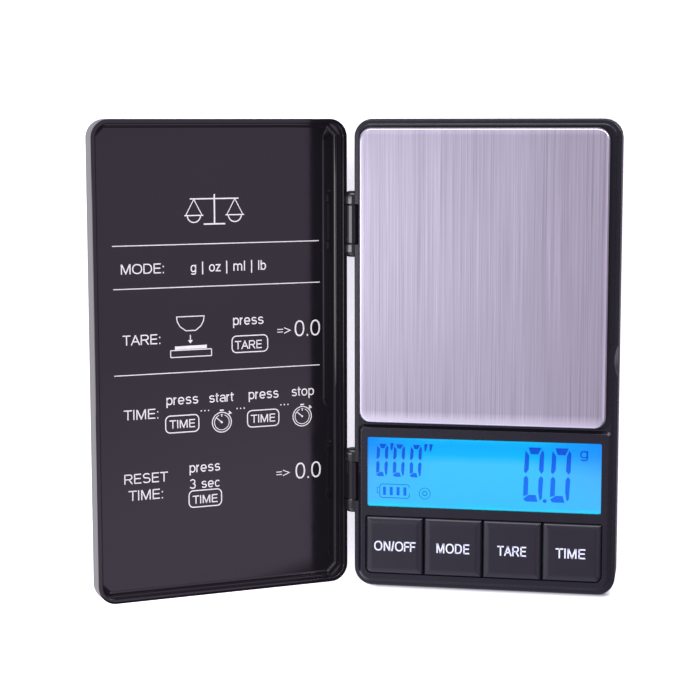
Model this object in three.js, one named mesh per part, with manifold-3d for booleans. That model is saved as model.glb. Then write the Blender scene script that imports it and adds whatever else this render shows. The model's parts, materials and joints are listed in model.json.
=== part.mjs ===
// Digital gram scale with a hinged cover.
//
// Millimetres, +Z up. The scale lies flat on its rubber feet: the case is centred on X = 0, Y = 0 while it
// is being built, its weighing platform is towards +Y, its display and keys are towards -Y, and the cover
// hinges along the -X side. The cover stands open. The last lines move the whole scale so that the origin
// is the bottom centre of its bounding box.

import * as THREE from 'three';
import { mergeVertices } from 'three/addons/utils/BufferGeometryUtils.js';
import Module from 'manifold-3d';

const wasm = await Module();
wasm.setup();

// ---------------------------------------------------------------- driving dimensions

const CASE = { width: 73, length: 130.9, corner: 5, wall: 2.4 };
const HALF_X = CASE.width / 2;
const HALF_Y = CASE.length / 2;

// Heights above the table.
const UNDERSIDE_Z = 0.8;
const FLOOR_Z = 2.4;
const SPLIT_Z = 6.5;
const LEDGE_Z = 13.4;
const LIP_Z = 14.2;
const DECK_Z = 15.2;
const RECESS_FLOOR_Z = 13.5;
const TRAY_TOP_Z = 17.0;

const RIM_INSET = 1.3;
const JOINT_GAP = 0.3;
const SLIP = 0.05;

// Weighing platform. It sits a little towards the hinges in its recess.
const TRAY = { width: 68.2, length: 81.1, x: -0.55, y: 22.3, corner: 3, sheet: 0.5, skirtZ: 14.4, edge: 0.9 };
const RECESS = { width: 69.7, length: 82.3, corner: 3.3 };

// Raised display deck: its low outline is inset like the lip, and its sides slope in by DECK_SLOPE.
const DECK_TOP_Y = -19.2;
const DECK_SLOPE = 0.9;
const DECK_THICK = 1.4;
const WINDOW = { width: 64.8, height: 19.4, y: -32.55, corner: 0.5 };
const KEYS = { count: 4, pitch: 16.5, gap: 0.45, height: 16.1, y: -53.3, topZ: 15.9, bottomZ: 12.95 };
const KEY_TRAVEL = 0.5;

// Cover.
const LID = { thick: 6.4, rimZ: 13.6, rim: 1.25, lip: 0.55, lipDepth: 1.8, depth: 4.5, cornerCut: 2.6 };
const LID_TOP_Z = LID.rimZ + LID.thick;
const LID_OPEN_DEG = 146.4;

// Hinges: two, each with two ears on the case and one knuckle on the cover.
const HINGE = { x: -HALF_X - 0.7, z: 10.9, ys: [36.45, -35.8], earLength: 3.6, knuckleLength: 10.6, play: 0.3 };
const EAR_R = 2.45;
const KNUCKLE_R = 2.1;
const PIN_R = 0.8;

// Batteries: two AAA cells side by side under the platform's far end, lying along X.
const CELL = { r: 5.25, length: 44.5, z: 7.15, y: [43.6, 55.0] };
const BAY = { halfX: 26.7, y0: 37.7, y1: 61.0, wall: 1.4, topZ: 12.1 };
const DOOR = { halfX: 26.5, tongue: 1, y0: 36.3, topZ: 1.75, stepZ: 1.25 };

// Load cell: a bending beam along Y, bolted to the case at one end and to the platform at the other.
const BEAM = { width: 12, height: 6, y0: -17, y1: 30, z: 5.0, holeR: 2.1, holeSpacing: 9, holeY: 4.5 };
const BEAM_BOLTS = [-13.6, -6.4];
const PLATFORM_BOLTS = [18.6, 25.6];
const PLATFORM_BOSS = { y0: 15, y1: 29, halfX: 6 };

// Electronics.
const BOARD = { halfX: 32.6, y0: -61.2, y1: -21, z: 7.9, thick: 1.2 };
const BOARD_TOP_Z = BOARD.z + BOARD.thick;
const LCD = { width: 65.4, height: 22, z: 11.5, thick: 2.2 };

// Case screws, feet.
const BOSS = { x: 31.3, y: 57.6, r: 3.0, splitZ: 7.85 };
const FOOT = { x: 31.6, y: 46, r: 3.4, recess: 0.6 };

// ---------------------------------------------------------------- finishes

const plastic = () => new THREE.MeshStandardMaterial({ color: 0x2c292f, roughness: 0.42, metalness: 0 });
const gloss = () => new THREE.MeshStandardMaterial({ color: 0x2a262d, roughness: 0.12, metalness: 0 });
const brushed = () => new THREE.MeshStandardMaterial({ color: 0xc9c2d2, roughness: 0.32, metalness: 1 });
const steel = () => new THREE.MeshStandardMaterial({ color: 0xb9babd, roughness: 0.3, metalness: 1 });
const spring = () => new THREE.MeshStandardMaterial({ color: 0xc8c6bd, roughness: 0.28, metalness: 1 });
const aluminium = () => new THREE.MeshStandardMaterial({ color: 0xbfc2c6, roughness: 0.4, metalness: 1 });
const rubber = () => new THREE.MeshStandardMaterial({ color: 0x1d1d1f, roughness: 0.85, metalness: 0 });
const silicone = () => new THREE.MeshStandardMaterial({ color: 0xe7e5df, roughness: 0.55, metalness: 0 });
const clear = () => new THREE.MeshStandardMaterial({
  color: 0xf2f6fa, roughness: 0.05, metalness: 0, transparent: true, opacity: 0.3,
});
const blue = () => new THREE.MeshStandardMaterial({ color: 0x2aa2ff, roughness: 0.2, metalness: 0 });
const diffuser = () => new THREE.MeshStandardMaterial({ color: 0xe9eef2, roughness: 0.5, metalness: 0 });
const board = () => new THREE.MeshStandardMaterial({ color: 0x17613a, roughness: 0.45, metalness: 0 });
const epoxy = () => new THREE.MeshStandardMaterial({ color: 0x111113, roughness: 0.25, metalness: 0 });
const jacket = (color) => new THREE.MeshStandardMaterial({ color, roughness: 0.5, metalness: 0 });

// ---------------------------------------------------------------- solids and booleans

/** A closed three.js geometry as a manifold solid. */
function solid(geometry) {
  const bare = geometry.clone();
  bare.deleteAttribute('normal');
  bare.deleteAttribute('uv');
  const merged = mergeVertices(bare, 1e-4);
  const corners = merged.index.array;
  const kept = [];
  for (let i = 0; i < corners.length; i += 3) {
    const [a, b, c] = [corners[i], corners[i + 1], corners[i + 2]];
    if (a !== b && b !== c && c !== a) kept.push(a, b, c);
  }
  return new wasm.Manifold(new wasm.Mesh({
    numProp: 3,
    vertProperties: new Float32Array(merged.attributes.position.array),
    triVerts: new Uint32Array(kept),
  }));
}

/** The three.js geometry of a manifold solid. */
function geometryOf(body) {
  const mesh = body.getMesh();
  const geometry = new THREE.BufferGeometry();
  geometry.setAttribute('position', new THREE.BufferAttribute(new Float32Array(mesh.vertProperties), 3));
  geometry.setIndex(new THREE.BufferAttribute(new Uint32Array(mesh.triVerts), 1));
  geometry.computeVertexNormals();
  return geometry;
}

const join = (bodies) => bodies.reduce((sum, next) => sum.add(next));
const cut = (body, tools) => tools.reduce((left, tool) => left.subtract(tool), body);

/** A block between two corners. */
function block(x0, x1, y0, y1, z0, z1) {
  const geometry = new THREE.BoxGeometry(x1 - x0, y1 - y0, z1 - z0);
  geometry.translate((x0 + x1) / 2, (y0 + y1) / 2, (z0 + z1) / 2);
  return solid(geometry);
}

/** An upright round bar. */
function rod(x, y, r, z0, z1, sides = 24) {
  const geometry = new THREE.CylinderGeometry(r, r, z1 - z0, sides);
  geometry.rotateX(Math.PI / 2);
  geometry.translate(x, y, (z0 + z1) / 2);
  return solid(geometry);
}

/** A round bar along Y. */
function barY(x, z, r, y0, y1, sides = 24) {
  const geometry = new THREE.CylinderGeometry(r, r, y1 - y0, sides);
  geometry.translate(x, (y0 + y1) / 2, z);
  return solid(geometry);
}

/** A round bar along X. */
function barX(y, z, r, x0, x1, sides = 24) {
  const geometry = new THREE.CylinderGeometry(r, r, x1 - x0, sides);
  geometry.rotateZ(Math.PI / 2);
  geometry.translate((x0 + x1) / 2, y, z);
  return solid(geometry);
}

/** A ring of points round a rectangle with rounded corners, counter-clockwise from its +X side. */
function ring(rect, inset) {
  const steps = 5;
  const halfW = rect.width / 2 - inset;
  const halfL = rect.length / 2 - inset;
  const radii = rect.corners ?? [rect.corner, rect.corner, rect.corner, rect.corner];
  const signs = [[1, 1], [-1, 1], [-1, -1], [1, -1]];
  const points = [];
  signs.forEach(([sx, sy], side) => {
    const r = Math.max(radii[side] - inset, 0.2);
    for (let i = 0; i <= steps; i += 1) {
      const angle = (side + i / steps) * Math.PI / 2;
      const x = (rect.x ?? 0) + sx * (halfW - r) + r * Math.cos(angle);
      const y = (rect.y ?? 0) + sy * (halfL - r) + r * Math.sin(angle);
      points.push(new THREE.Vector2(x, y));
    }
  });
  return points;
}

/** A solid stacked from rings: levels lists [inset, z] from the bottom up. */
function layered(rect, levels) {
  const rings = levels.map(([inset]) => ring(rect, inset));
  const count = rings[0].length;
  const places = [];
  const faces = [];
  rings.forEach((points, level) => {
    points.forEach((point) => places.push(point.x, point.y, levels[level][1]));
  });
  for (let level = 0; level + 1 < rings.length; level += 1) {
    for (let i = 0; i < count; i += 1) {
      const next = (i + 1) % count;
      const [a, b] = [level * count + i, level * count + next];
      faces.push(a, b, b + count, a, b + count, a + count);
    }
  }
  const top = (rings.length - 1) * count;
  for (let i = 1; i + 1 < count; i += 1) {
    faces.push(0, i + 1, i);
    faces.push(top, top + i, top + i + 1);
  }
  const geometry = new THREE.BufferGeometry();
  geometry.setAttribute('position', new THREE.Float32BufferAttribute(places, 3));
  geometry.setIndex(faces);
  return solid(geometry);
}

/** A flat plate of the given outline between two heights. */
function plate(points, z0, z1) {
  const geometry = new THREE.ExtrudeGeometry(new THREE.Shape(points), { depth: z1 - z0, bevelEnabled: false });
  geometry.translate(0, 0, z0);
  return solid(geometry);
}

/** A body of revolution about an upright axis, from [radius, z] points that start and end on the axis. */
function turned(x, y, profile, sides = 24) {
  const points = profile.map(([r, z]) => new THREE.Vector2(r, z));
  const geometry = new THREE.LatheGeometry(points, sides);
  geometry.rotateX(Math.PI / 2);
  geometry.translate(x, y, 0);
  return solid(geometry);
}

/** A round wire along a smooth curve through the points. */
function wire(points, r, steps, sides = 8) {
  const section = new THREE.Shape();
  for (let i = 0; i < sides; i += 1) {
    const angle = (i / sides) * 2 * Math.PI;
    const [x, y] = [r * Math.cos(angle), r * Math.sin(angle)];
    if (i === 0) section.moveTo(x, y);
    else section.lineTo(x, y);
  }
  section.closePath();
  const path = new THREE.CatmullRomCurve3(points.map((p) => new THREE.Vector3(...p)), false, 'centripetal');
  return solid(new THREE.ExtrudeGeometry(section, { steps, extrudePath: path, bevelEnabled: false }));
}

const mirrored = (place) => [place(1), place(-1)];

// ---------------------------------------------------------------- shared outlines

const outline = { width: CASE.width, length: CASE.length, corner: CASE.corner };
const trayOutline = { width: TRAY.width, length: TRAY.length, corner: TRAY.corner, x: TRAY.x, y: TRAY.y };
const deckOutline = {
  width: CASE.width,
  length: HALF_Y + DECK_TOP_Y + RIM_INSET,
  y: (-HALF_Y + DECK_TOP_Y + RIM_INSET) / 2,
  corners: [1.7, 1.7, CASE.corner, CASE.corner],
};

/** The outside of the closed case below the ledge, with its softened bottom edge. */
const caseBlank = (z0, z1) => layered(outline, [[1.1, z0], [0.35, z0 + 0.35], [0, z0 + 1.1], [0, z1]]);

const bossPlaces = [[1, 1], [-1, 1], [-1, -1], [1, -1]].map(([sx, sy]) => [sx * BOSS.x, sy * BOSS.y]);
const footPlaces = [[1, 1], [-1, 1], [-1, -1], [1, -1]].map(([sx, sy]) => [sx * FOOT.x, sy * FOOT.y]);
const keyPlaces = Array.from({ length: KEYS.count }, (_, i) => (i - (KEYS.count - 1) / 2) * KEYS.pitch);

// ---------------------------------------------------------------- case

function lowerHousing() {
  const shell = cut(caseBlank(UNDERSIDE_Z, SPLIT_Z), [
    layered(outline, [[CASE.wall, FLOOR_Z], [CASE.wall, SPLIT_Z + 1]]),
  ]);
  // Tongue that stands up inside the upper housing, so that no gap shows through.
  const tongue = cut(layered(outline, [[1.2, SPLIT_Z - 1], [1.2, SPLIT_Z + 1.2]]), [
    layered(outline, [[CASE.wall, SPLIT_Z - 2], [CASE.wall, SPLIT_Z + 2]]),
  ]);
  const bayOutside = BAY.halfX + BAY.wall;
  const bayWalls = cut(
    block(-bayOutside, bayOutside, BAY.y0 - BAY.wall, BAY.y1 + BAY.wall, FLOOR_Z - 1, BAY.topZ),
    [block(-BAY.halfX, BAY.halfX, BAY.y0, BAY.y1, 0, BAY.topZ + 1)],
  );
  const midY = (CELL.y[0] + CELL.y[1]) / 2;
  const bayRib = block(-BAY.halfX + 1.1, BAY.halfX + 0.5, midY - 0.35, midY + 0.35, FLOOR_Z - 0.3, 5.6);
  const beamPad = block(-BEAM.width / 2, BEAM.width / 2, BEAM.y0, -4.3, FLOOR_Z - 0.5, BEAM.z - SLIP);
  const overloadStop = block(-4, 4, 25, 29, FLOOR_Z - 0.5, BEAM.z - 0.7);
  const bosses = bossPlaces.map(([x, y]) => rod(x, y, BOSS.r, FLOOR_Z - 0.5, BOSS.splitZ, 16));
  const boardPosts = mirrored((side) => rod(side * 29.5, -25, 1.8, FLOOR_Z - 0.5, BOARD.z - SLIP, 16));

  const body = join([shell, tongue, bayWalls, bayRib, beamPad, overloadStop, ...bosses, ...boardPosts]);
  return cut(body, [
    // Battery opening, and the T-shaped slot that the door slides in from the far end.
    block(-BAY.halfX, BAY.halfX, BAY.y0, BAY.y1, 0, FLOOR_Z - 0.3),
    block(-BAY.halfX, BAY.halfX, BAY.y0, midY - 0.35, 1, FLOOR_Z + 1),
    block(-BAY.halfX, BAY.halfX, midY + 0.35, BAY.y1, 1, FLOOR_Z + 1),
    block(-BAY.halfX, -BAY.halfX + 1.1, BAY.y0, BAY.y1, 1, FLOOR_Z + 1),
    block(-DOOR.halfX - 0.2, DOOR.halfX + 0.2, DOOR.y0 - 0.3, HALF_Y + 1, 0, DOOR.topZ + 0.15),
    block(-DOOR.halfX - DOOR.tongue - 0.2, DOOR.halfX + DOOR.tongue + 0.2, DOOR.y0 - 0.3, HALF_Y + 1,
      DOOR.stepZ - 0.1, DOOR.topZ + 0.15),
    ...bossPlaces.map(([x, y]) => rod(x, y, 2.1, 0, 2.3)),
    ...bossPlaces.map(([x, y]) => rod(x, y, 1.15, 0, 9, 12)),
    ...footPlaces.map(([x, y]) => rod(x, y, FOOT.r + 0.05, 0, UNDERSIDE_Z + FOOT.recess)),
    ...BEAM_BOLTS.map((y) => rod(0, y, 2.6, 0, 2.5)),
    ...BEAM_BOLTS.map((y) => rod(0, y, 1.6, 0, 6, 12)),
  ]);
}

function upperHousing() {
  const shell = layered(outline, [[0, SPLIT_Z + JOINT_GAP], [0, 12.85], [0.2, 13.25], [0.55, LEDGE_Z]]);
  const lip = layered(outline, [[RIM_INSET, LEDGE_Z - 0.5], [RIM_INSET, LIP_Z - 0.25], [RIM_INSET + 0.2, LIP_Z]]);
  const deck = layered(deckOutline, [
    [RIM_INSET, LEDGE_Z - 0.5],
    [RIM_INSET, LIP_Z - 0.1],
    [RIM_INSET + DECK_SLOPE, DECK_Z],
  ]);
  const ears = HINGE.ys.flatMap((y) => mirrored((side) => hingeEar(y, side)));
  const blank = join([shell, lip, deck, ...ears]);

  const trayRecess = layered({ ...RECESS, y: TRAY.y }, [[0, RECESS_FLOOR_Z], [0, DECK_Z + 1]]);
  const deckBottomY = -HALF_Y + 3.2;
  const hollows = [
    layered(outline, [[CASE.wall, SPLIT_Z - 1], [CASE.wall, 12.2]]),
    layered(outline, [[0.9, SPLIT_Z - 1], [0.9, SPLIT_Z + 1.5]]),
    block(-HALF_X + 3.2, HALF_X - 3.2, DECK_TOP_Y + 1, HALF_Y - 3.2, 12, RECESS_FLOOR_Z - 0.9),
    block(-HALF_X + 3.2, HALF_X - 3.2, deckBottomY, DECK_TOP_Y - 1.5, 12, DECK_Z - DECK_THICK),
  ];
  // Screw bosses, tied to the side walls.
  const bosses = bossPlaces.map(([x, y]) => {
    const front = y < 0;
    const bottom = front ? BOARD_TOP_Z + SLIP : BOSS.splitZ + SLIP;
    const top = front ? 12.35 : 13;
    const column = rod(x, y, BOSS.r - 0.3, bottom, top, 16);
    const wallX = Math.sign(x) * 35;
    const web = block(Math.min(x, wallX), Math.max(x, wallX), y - 1.2, y + 1.2, 9.5, top);
    return column.add(web);
  });
  // Thickened wall behind each hinge, so that the knuckle's notch stays closed.
  const hingePads = HINGE.ys.map((y) => block(-HALF_X + 1, -HALF_X + 3.1, y - 7.5, y + 7.5, 8.2, 13));

  const body = join([cut(blank, [trayRecess, ...hollows]), ...bosses, ...hingePads]);
  const keysWidth = KEYS.count * KEYS.pitch - KEYS.gap;
  const windowHole = { width: WINDOW.width + 0.2, length: WINDOW.height + 0.2, y: WINDOW.y, corner: WINDOW.corner };
  const keysHole = { width: keysWidth + 0.5, length: KEYS.height + 0.5, y: KEYS.y, corners: [0.7, 0.7, 1.8, 1.8] };
  return cut(body, [
    // Window, key and platform-boss openings.
    plate(ring(windowHole, 0), 12, 16),
    plate(ring(keysHole, 0), 12, 16),
    block(-7.2, 7.2, PLATFORM_BOSS.y0 - 1.2, PLATFORM_BOSS.y1 + 1.2, 12, 14),
    ...bossPlaces.map(([x, y]) => rod(x, y, 1.05, 7, y < 0 ? 11.9 : 12, 12)),
    ...HINGE.ys.flatMap((y) => knuckleNotch(y)),
    ...HINGE.ys.map((y) => barY(HINGE.x, HINGE.z, PIN_R + 0.06, y - 8.9, y + 8.9)),
    // Thumb notch in the edge opposite the hinges.
    rod(HALF_X + 9.2, 0, 10.2, 9.6, LEDGE_Z + 0.3, 64),
  ]);
}

/** One ear of a hinge: a round-nosed lug that reaches out from the case wall. */
function hingeEar(y, side) {
  const inner = y + side * (HINGE.knuckleLength / 2 + HINGE.play);
  const outer = inner + side * HINGE.earLength;
  const nose = inner + side * (HINGE.earLength - 1);
  const [y0, y1] = [Math.min(inner, nose), Math.max(inner, nose)];
  const [t0, t1] = [Math.min(nose, outer), Math.max(nose, outer)];
  const barrel = barY(HINGE.x, HINGE.z, EAR_R, y0, y1);
  const root = block(HINGE.x, -HALF_X + 1, y0, y1, HINGE.z - EAR_R, HINGE.z + EAR_R);
  const taper = new THREE.CylinderGeometry(side > 0 ? 1.6 : EAR_R, side > 0 ? EAR_R : 1.6, t1 - t0, 24);
  taper.translate(HINGE.x, (t0 + t1) / 2, HINGE.z);
  return join([barrel, root, solid(taper)]);
}

/** The space in the case edge that the cover's knuckle and arm turn in. */
function knuckleNotch(y) {
  const half = HINGE.knuckleLength / 2 + HINGE.play;
  return [
    barY(HINGE.x, HINGE.z, KNUCKLE_R + 0.3, y - half, y + half),
    block(HINGE.x - 4, -HALF_X + 1.35, y - half, y + half, HINGE.z, DECK_Z + 1),
    block(HINGE.x - 4, HINGE.x + 0.4, y - half, y + half, SPLIT_Z, DECK_Z + 1),
  ];
}

function hingePin(y) {
  return barY(HINGE.x, HINGE.z, PIN_R, y - 8.7, y + 8.7);
}

function batteryDoor() {
  const slab = join([
    block(-DOOR.halfX, DOOR.halfX, DOOR.y0, HALF_Y + 1, UNDERSIDE_Z, DOOR.topZ),
    block(-DOOR.halfX - DOOR.tongue, DOOR.halfX + DOOR.tongue, DOOR.y0, HALF_Y - 0.4, DOOR.stepZ, DOOR.topZ),
  ]);
  const trimmed = slab.intersect(caseBlank(UNDERSIDE_Z, SPLIT_Z));
  const grips = [0, 1, 2, 3].map((i) => block(-7, 7, 55 + 1.6 * i, 55.8 + 1.6 * i, 0, UNDERSIDE_Z + 0.3));
  return cut(trimmed, grips);
}

function foot([x, y]) {
  const top = UNDERSIDE_Z + FOOT.recess - 0.02;
  return turned(x, y, [[0, 0], [FOOT.r - 0.5, 0], [FOOT.r - 0.15, 0.15], [FOOT.r, 0.5], [FOOT.r, top], [0, top]], 20);
}

/** A pan-head screw that points up, with a cross recess in its head. */
function screw(x, y, { headR, headZ, headTop, r, tip }) {
  const bar = turned(x, y, [
    [0, headZ], [headR - 0.3, headZ], [headR, headZ + 0.3], [headR, headTop], [r, headTop],
    [r, tip - 0.6], [r * 0.5, tip], [0, tip],
  ], 12);
  return cut(bar, [
    block(x - headR * 0.6, x + headR * 0.6, y - 0.22, y + 0.22, headZ - 1, headZ + 0.6),
    block(x - 0.22, x + 0.22, y - headR * 0.6, y + headR * 0.6, headZ - 1, headZ + 0.6),
  ]);
}

/** A countersunk screw that points down, with a cross recess in its head. */
function platformScrew(x, y) {
  const [headTop, headBottom, tip] = [16.1, 14.9, 6.4];
  const bar = turned(x, y, [
    [0, tip], [0.8, tip], [1.35, tip + 0.6], [1.35, headBottom], [2.3, headTop - 0.2], [2.3, headTop], [0, headTop],
  ], 12);
  return cut(bar, [
    block(x - 1.4, x + 1.4, y - 0.25, y + 0.25, headTop - 0.6, headTop + 1),
    block(x - 0.25, x + 0.25, y - 1.4, y + 1.4, headTop - 0.6, headTop + 1),
  ]);
}

// ---------------------------------------------------------------- weighing platform

function platformTray() {
  const outside = layered(trayOutline, [
    [0, TRAY.skirtZ],
    [0, TRAY_TOP_Z - TRAY.edge],
    [0.08, TRAY_TOP_Z - 0.55],
    [0.27, TRAY_TOP_Z - 0.27],
    [0.55, TRAY_TOP_Z - 0.08],
    [TRAY.edge, TRAY_TOP_Z],
  ]);
  const inside = layered(trayOutline, [
    [TRAY.sheet, TRAY.skirtZ - 1],
    [TRAY.sheet, TRAY_TOP_Z - TRAY.edge],
    [TRAY.edge, TRAY_TOP_Z - TRAY.sheet],
  ]);
  return outside.subtract(inside);
}

function platformCarrier() {
  const slab = layered(trayOutline, [[0.7, 14.6], [0.7, 15.9], [1, 16.25]]);
  const pockets = mirrored((side) => mirrored((end) => {
    const y = TRAY.y + end * 20.5;
    return block(side > 0 ? 3 : -30, side > 0 ? 30 : -3, y - 10, y + 10, 14, 15.3);
  })).flat();
  const boss = block(-PLATFORM_BOSS.halfX, PLATFORM_BOSS.halfX, PLATFORM_BOSS.y0, PLATFORM_BOSS.y1,
    BEAM.z + BEAM.height + SLIP, 15);
  const holes = PLATFORM_BOLTS.flatMap((y) => [
    rod(0, y, 1.5, 10, 17, 12),
    turned(0, y, [[0, 14.8], [1.5, 14.8], [2.5, 16], [2.5, 17], [0, 17]], 16),
  ]);
  return cut(slab.subtract(join(pockets)).add(boss), holes);
}

function loadCell() {
  const top = BEAM.z + BEAM.height;
  const midZ = BEAM.z + BEAM.height / 2;
  const half = BEAM.width / 2;
  const bar = block(-half, half, BEAM.y0, BEAM.y1, BEAM.z, top);
  const holes = mirrored((side) => {
    return barX(BEAM.holeY + side * BEAM.holeSpacing / 2, midZ, BEAM.holeR, -half - 1, half + 1);
  });
  const slot = block(-half - 1, half + 1, BEAM.holeY - BEAM.holeSpacing / 2, BEAM.holeY + BEAM.holeSpacing / 2,
    midZ - 0.9, midZ + 0.9);
  const bolts = [...BEAM_BOLTS, ...PLATFORM_BOLTS].map((y) => rod(0, y, 1.5, 0, 20, 12));
  return cut(bar, [...holes, slot, ...bolts]);
}

/** Silicone that seals the strain gauges all round the thin middle of the beam. */
function gaugeSealant() {
  const half = BEAM.width / 2;
  const rect = { width: BEAM.width + 2.4, length: 17, y: BEAM.holeY, corner: 1.2 };
  const [z0, z1] = [BEAM.z - 1.2, BEAM.z + BEAM.height + 1.2];
  const wrap = layered(rect, [[0.7, z0], [0, z0 + 0.7], [0, z1 - 0.7], [0.7, z1]]);
  const beam = block(-half - SLIP, half + SLIP, -20, 40, BEAM.z - SLIP, BEAM.z + BEAM.height + SLIP);
  return wrap.subtract(beam);
}

// ---------------------------------------------------------------- cover

/** The cover in its closed place, rim down on the case ledge. */
function lidShell() {
  const blank = layered(outline, [
    [0.15, LID.rimZ],
    [0, LID.rimZ + 0.2],
    [0, LID_TOP_Z - 1],
    [0.13, LID_TOP_Z - 0.5],
    [0.5, LID_TOP_Z - 0.13],
    [1, LID_TOP_Z],
  ]);
  const rebate = layered(outline, [[LID.rim, LID.rimZ - 1], [LID.rim, LID.rimZ + LID.lipDepth]]);
  const inset = LID.rim + LID.lip;
  const hollowOutline = cutCornerRect(HALF_X - inset, HALF_Y - inset, LID.cornerCut);
  const hollow = plate(hollowOutline, LID.rimZ, LID.rimZ + LID.depth);
  const knuckles = HINGE.ys.map((y) => {
    const half = HINGE.knuckleLength / 2;
    const barrel = barY(HINGE.x, HINGE.z, KNUCKLE_R, y - half, y + half);
    const arm = block(HINGE.x - 0.5, -HALF_X + 1.15, y - half, y + half, HINGE.z, LID.rimZ + 1.2);
    return barrel.add(arm);
  });
  const bores = HINGE.ys.map((y) => barY(HINGE.x, HINGE.z, PIN_R + 0.09, y - 10, y + 10));
  return cut(join([cut(blank, [rebate, hollow]), ...knuckles]), bores);
}

/** A rectangle with its corners cut at 45 degrees. */
function cutCornerRect(halfX, halfY, size) {
  const corners = [[1, 1], [-1, 1], [-1, -1], [1, -1]];
  return corners.flatMap(([sx, sy], i) => {
    const alongY = new THREE.Vector2(sx * halfX, sy * (halfY - size));
    const alongX = new THREE.Vector2(sx * (halfX - size), sy * halfY);
    return i % 2 === 0 ? [alongY, alongX] : [alongX, alongY];
  });
}

// ---------------------------------------------------------------- display, keys and circuit

function displayWindow() {
  const rect = { width: WINDOW.width, length: WINDOW.height, y: WINDOW.y, corner: WINDOW.corner };
  return layered(rect, [[0, DECK_Z - DECK_THICK + SLIP], [0, DECK_Z - 0.2], [0.08, DECK_Z - 0.1]]);
}

function lcdGlass() {
  return layered({ width: LCD.width, length: LCD.height, y: WINDOW.y, corner: 0.3 }, [
    [0, LCD.z], [0, LCD.z + LCD.thick],
  ]);
}

function lcdBacklight() {
  return layered({ width: LCD.width, length: LCD.height - 3.4, y: WINDOW.y - 1.4, corner: 0.6 }, [
    [0, BOARD_TOP_Z + 0.1], [0, LCD.z - SLIP],
  ]);
}

function zebraStrip() {
  const y = WINDOW.y + LCD.height / 2 - 1.4;
  return block(-30, 30, y - 0.9, y + 0.9, BOARD_TOP_Z + SLIP, LCD.z - SLIP);
}

function lcdFrame() {
  const rect = { width: LCD.width + 1, length: LCD.height + 1.2, y: WINDOW.y, corner: 0.6 };
  const hole = { width: LCD.width + 0.2, length: LCD.height + 0.2, y: WINDOW.y, corner: 0.3 };
  const band = layered(rect, [[0, BOARD_TOP_Z + SLIP], [0, LCD.z + LCD.thick]]);
  return band.subtract(layered(hole, [[0, 8], [0, 15]]));
}

function circuitBoard() {
  const rect = { width: 2 * BOARD.halfX, length: BOARD.y1 - BOARD.y0, y: (BOARD.y0 + BOARD.y1) / 2, corner: 1 };
  const blank = layered(rect, [[0, BOARD.z], [0, BOARD_TOP_Z]]);
  const frontBosses = bossPlaces.filter(([, y]) => y < 0);
  return cut(blank, frontBosses.map(([x, y]) => rod(x, y, 1.3, 7, 10)));
}

function controllerChip() {
  const top = BOARD.z - 0.02;
  return turned(-6, -40, [[0, top - 1.3], [2.4, top - 1.15], [4, top - 0.7], [5, top], [0, top]], 20);
}

/** A key cap: soft-edged top, plain sides, and retaining flanges along its long edges under the deck. */
function keyCap(index) {
  const x = keyPlaces[index];
  const width = KEYS.pitch - KEYS.gap;
  const outerLeft = index === 0 ? 1.6 : 0.4;
  const outerRight = index === KEYS.count - 1 ? 1.6 : 0.4;
  const rect = { width, length: KEYS.height, x, y: KEYS.y, corners: [0.5, 0.5, outerLeft, outerRight] };
  const cap = layered(rect, [
    [0, KEYS.bottomZ],
    [0, KEYS.topZ - 0.7],
    [0.1, KEYS.topZ - 0.4],
    [0.35, KEYS.topZ - 0.15],
    [0.8, KEYS.topZ],
  ]);
  const half = KEYS.height / 2 + 0.6;
  const flange = block(x - width / 2 + 0.8, x + width / 2 - 0.8, KEYS.y - half, KEYS.y + half,
    KEYS.bottomZ, DECK_Z - DECK_THICK - SLIP);
  return cap.add(flange);
}

function switchBody(index) {
  const x = keyPlaces[index];
  const housing = layered({ width: 6, length: 6, x, y: KEYS.y, corner: 0.5 }, [
    [0, BOARD_TOP_Z + 0.02], [0, 11.7], [0.3, 11.9],
  ]);
  return housing.subtract(rod(x, KEYS.y, 1.85, 10.3, 13, 16));
}

function switchPlunger(index) {
  return rod(keyPlaces[index], KEYS.y, 1.7, 10.9, KEYS.bottomZ - 0.02, 16);
}

// ---------------------------------------------------------------- batteries and contacts

/** An AAA cell with its raised positive end towards the given side of X. */
function batteryCell(y, side) {
  const half = CELL.length / 2 - 0.8;
  const can = turned(0, 0, [
    [0, -half], [CELL.r - 0.4, -half], [CELL.r, -half + 0.4],
    [CELL.r, half - 0.4], [CELL.r - 0.4, half], [1.9, half], [1.9, half + 0.8], [0, half + 0.8],
  ], 28);
  const geometry = geometryOf(can);
  geometry.rotateY(side * Math.PI / 2);
  geometry.translate(side * 1.75, y, CELL.z);
  return solid(geometry);
}

/** A contact plate on the wall of the bay, with a solder tab that reaches over the wall. */
function contactPlate(side, y0, y1) {
  const x = side * BAY.halfX;
  const [x0, x1] = [Math.min(x - side * 0.05, x - side * 0.35), Math.max(x - side * 0.05, x - side * 0.35)];
  return block(x0, x1, y0, y1, 2.9, 11.6);
}

/** A cone-shaped coil spring from the bay wall to the flat end of a cell. */
function contactSpring(side, y) {
  const [turns, stepsPerTurn] = [3.5, 14];
  const count = Math.round(turns * stepsPerTurn);
  const [x0, reach] = [side * (BAY.halfX - 0.45), 4.1];
  const points = Array.from({ length: count + 1 }, (_, i) => {
    const t = i / count;
    const angle = t * turns * 2 * Math.PI;
    const r = 3.6 - 1.5 * t;
    return [x0 - side * reach * Math.max(0, t - 0.08) / 0.92, y + r * Math.cos(angle), CELL.z + r * Math.sin(angle)];
  });
  return wire(points, 0.3, count, 6);
}

function contactNegative() {
  return contactPlate(1, 50, 60).add(contactSpring(1, CELL.y[1]));
}

function contactPositive() {
  const dimple = barX(CELL.y[0], CELL.z, 2.2, BAY.halfX - 0.9, BAY.halfX - 0.2, 20);
  return contactPlate(1, 38.6, 48.6).add(dimple);
}

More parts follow.
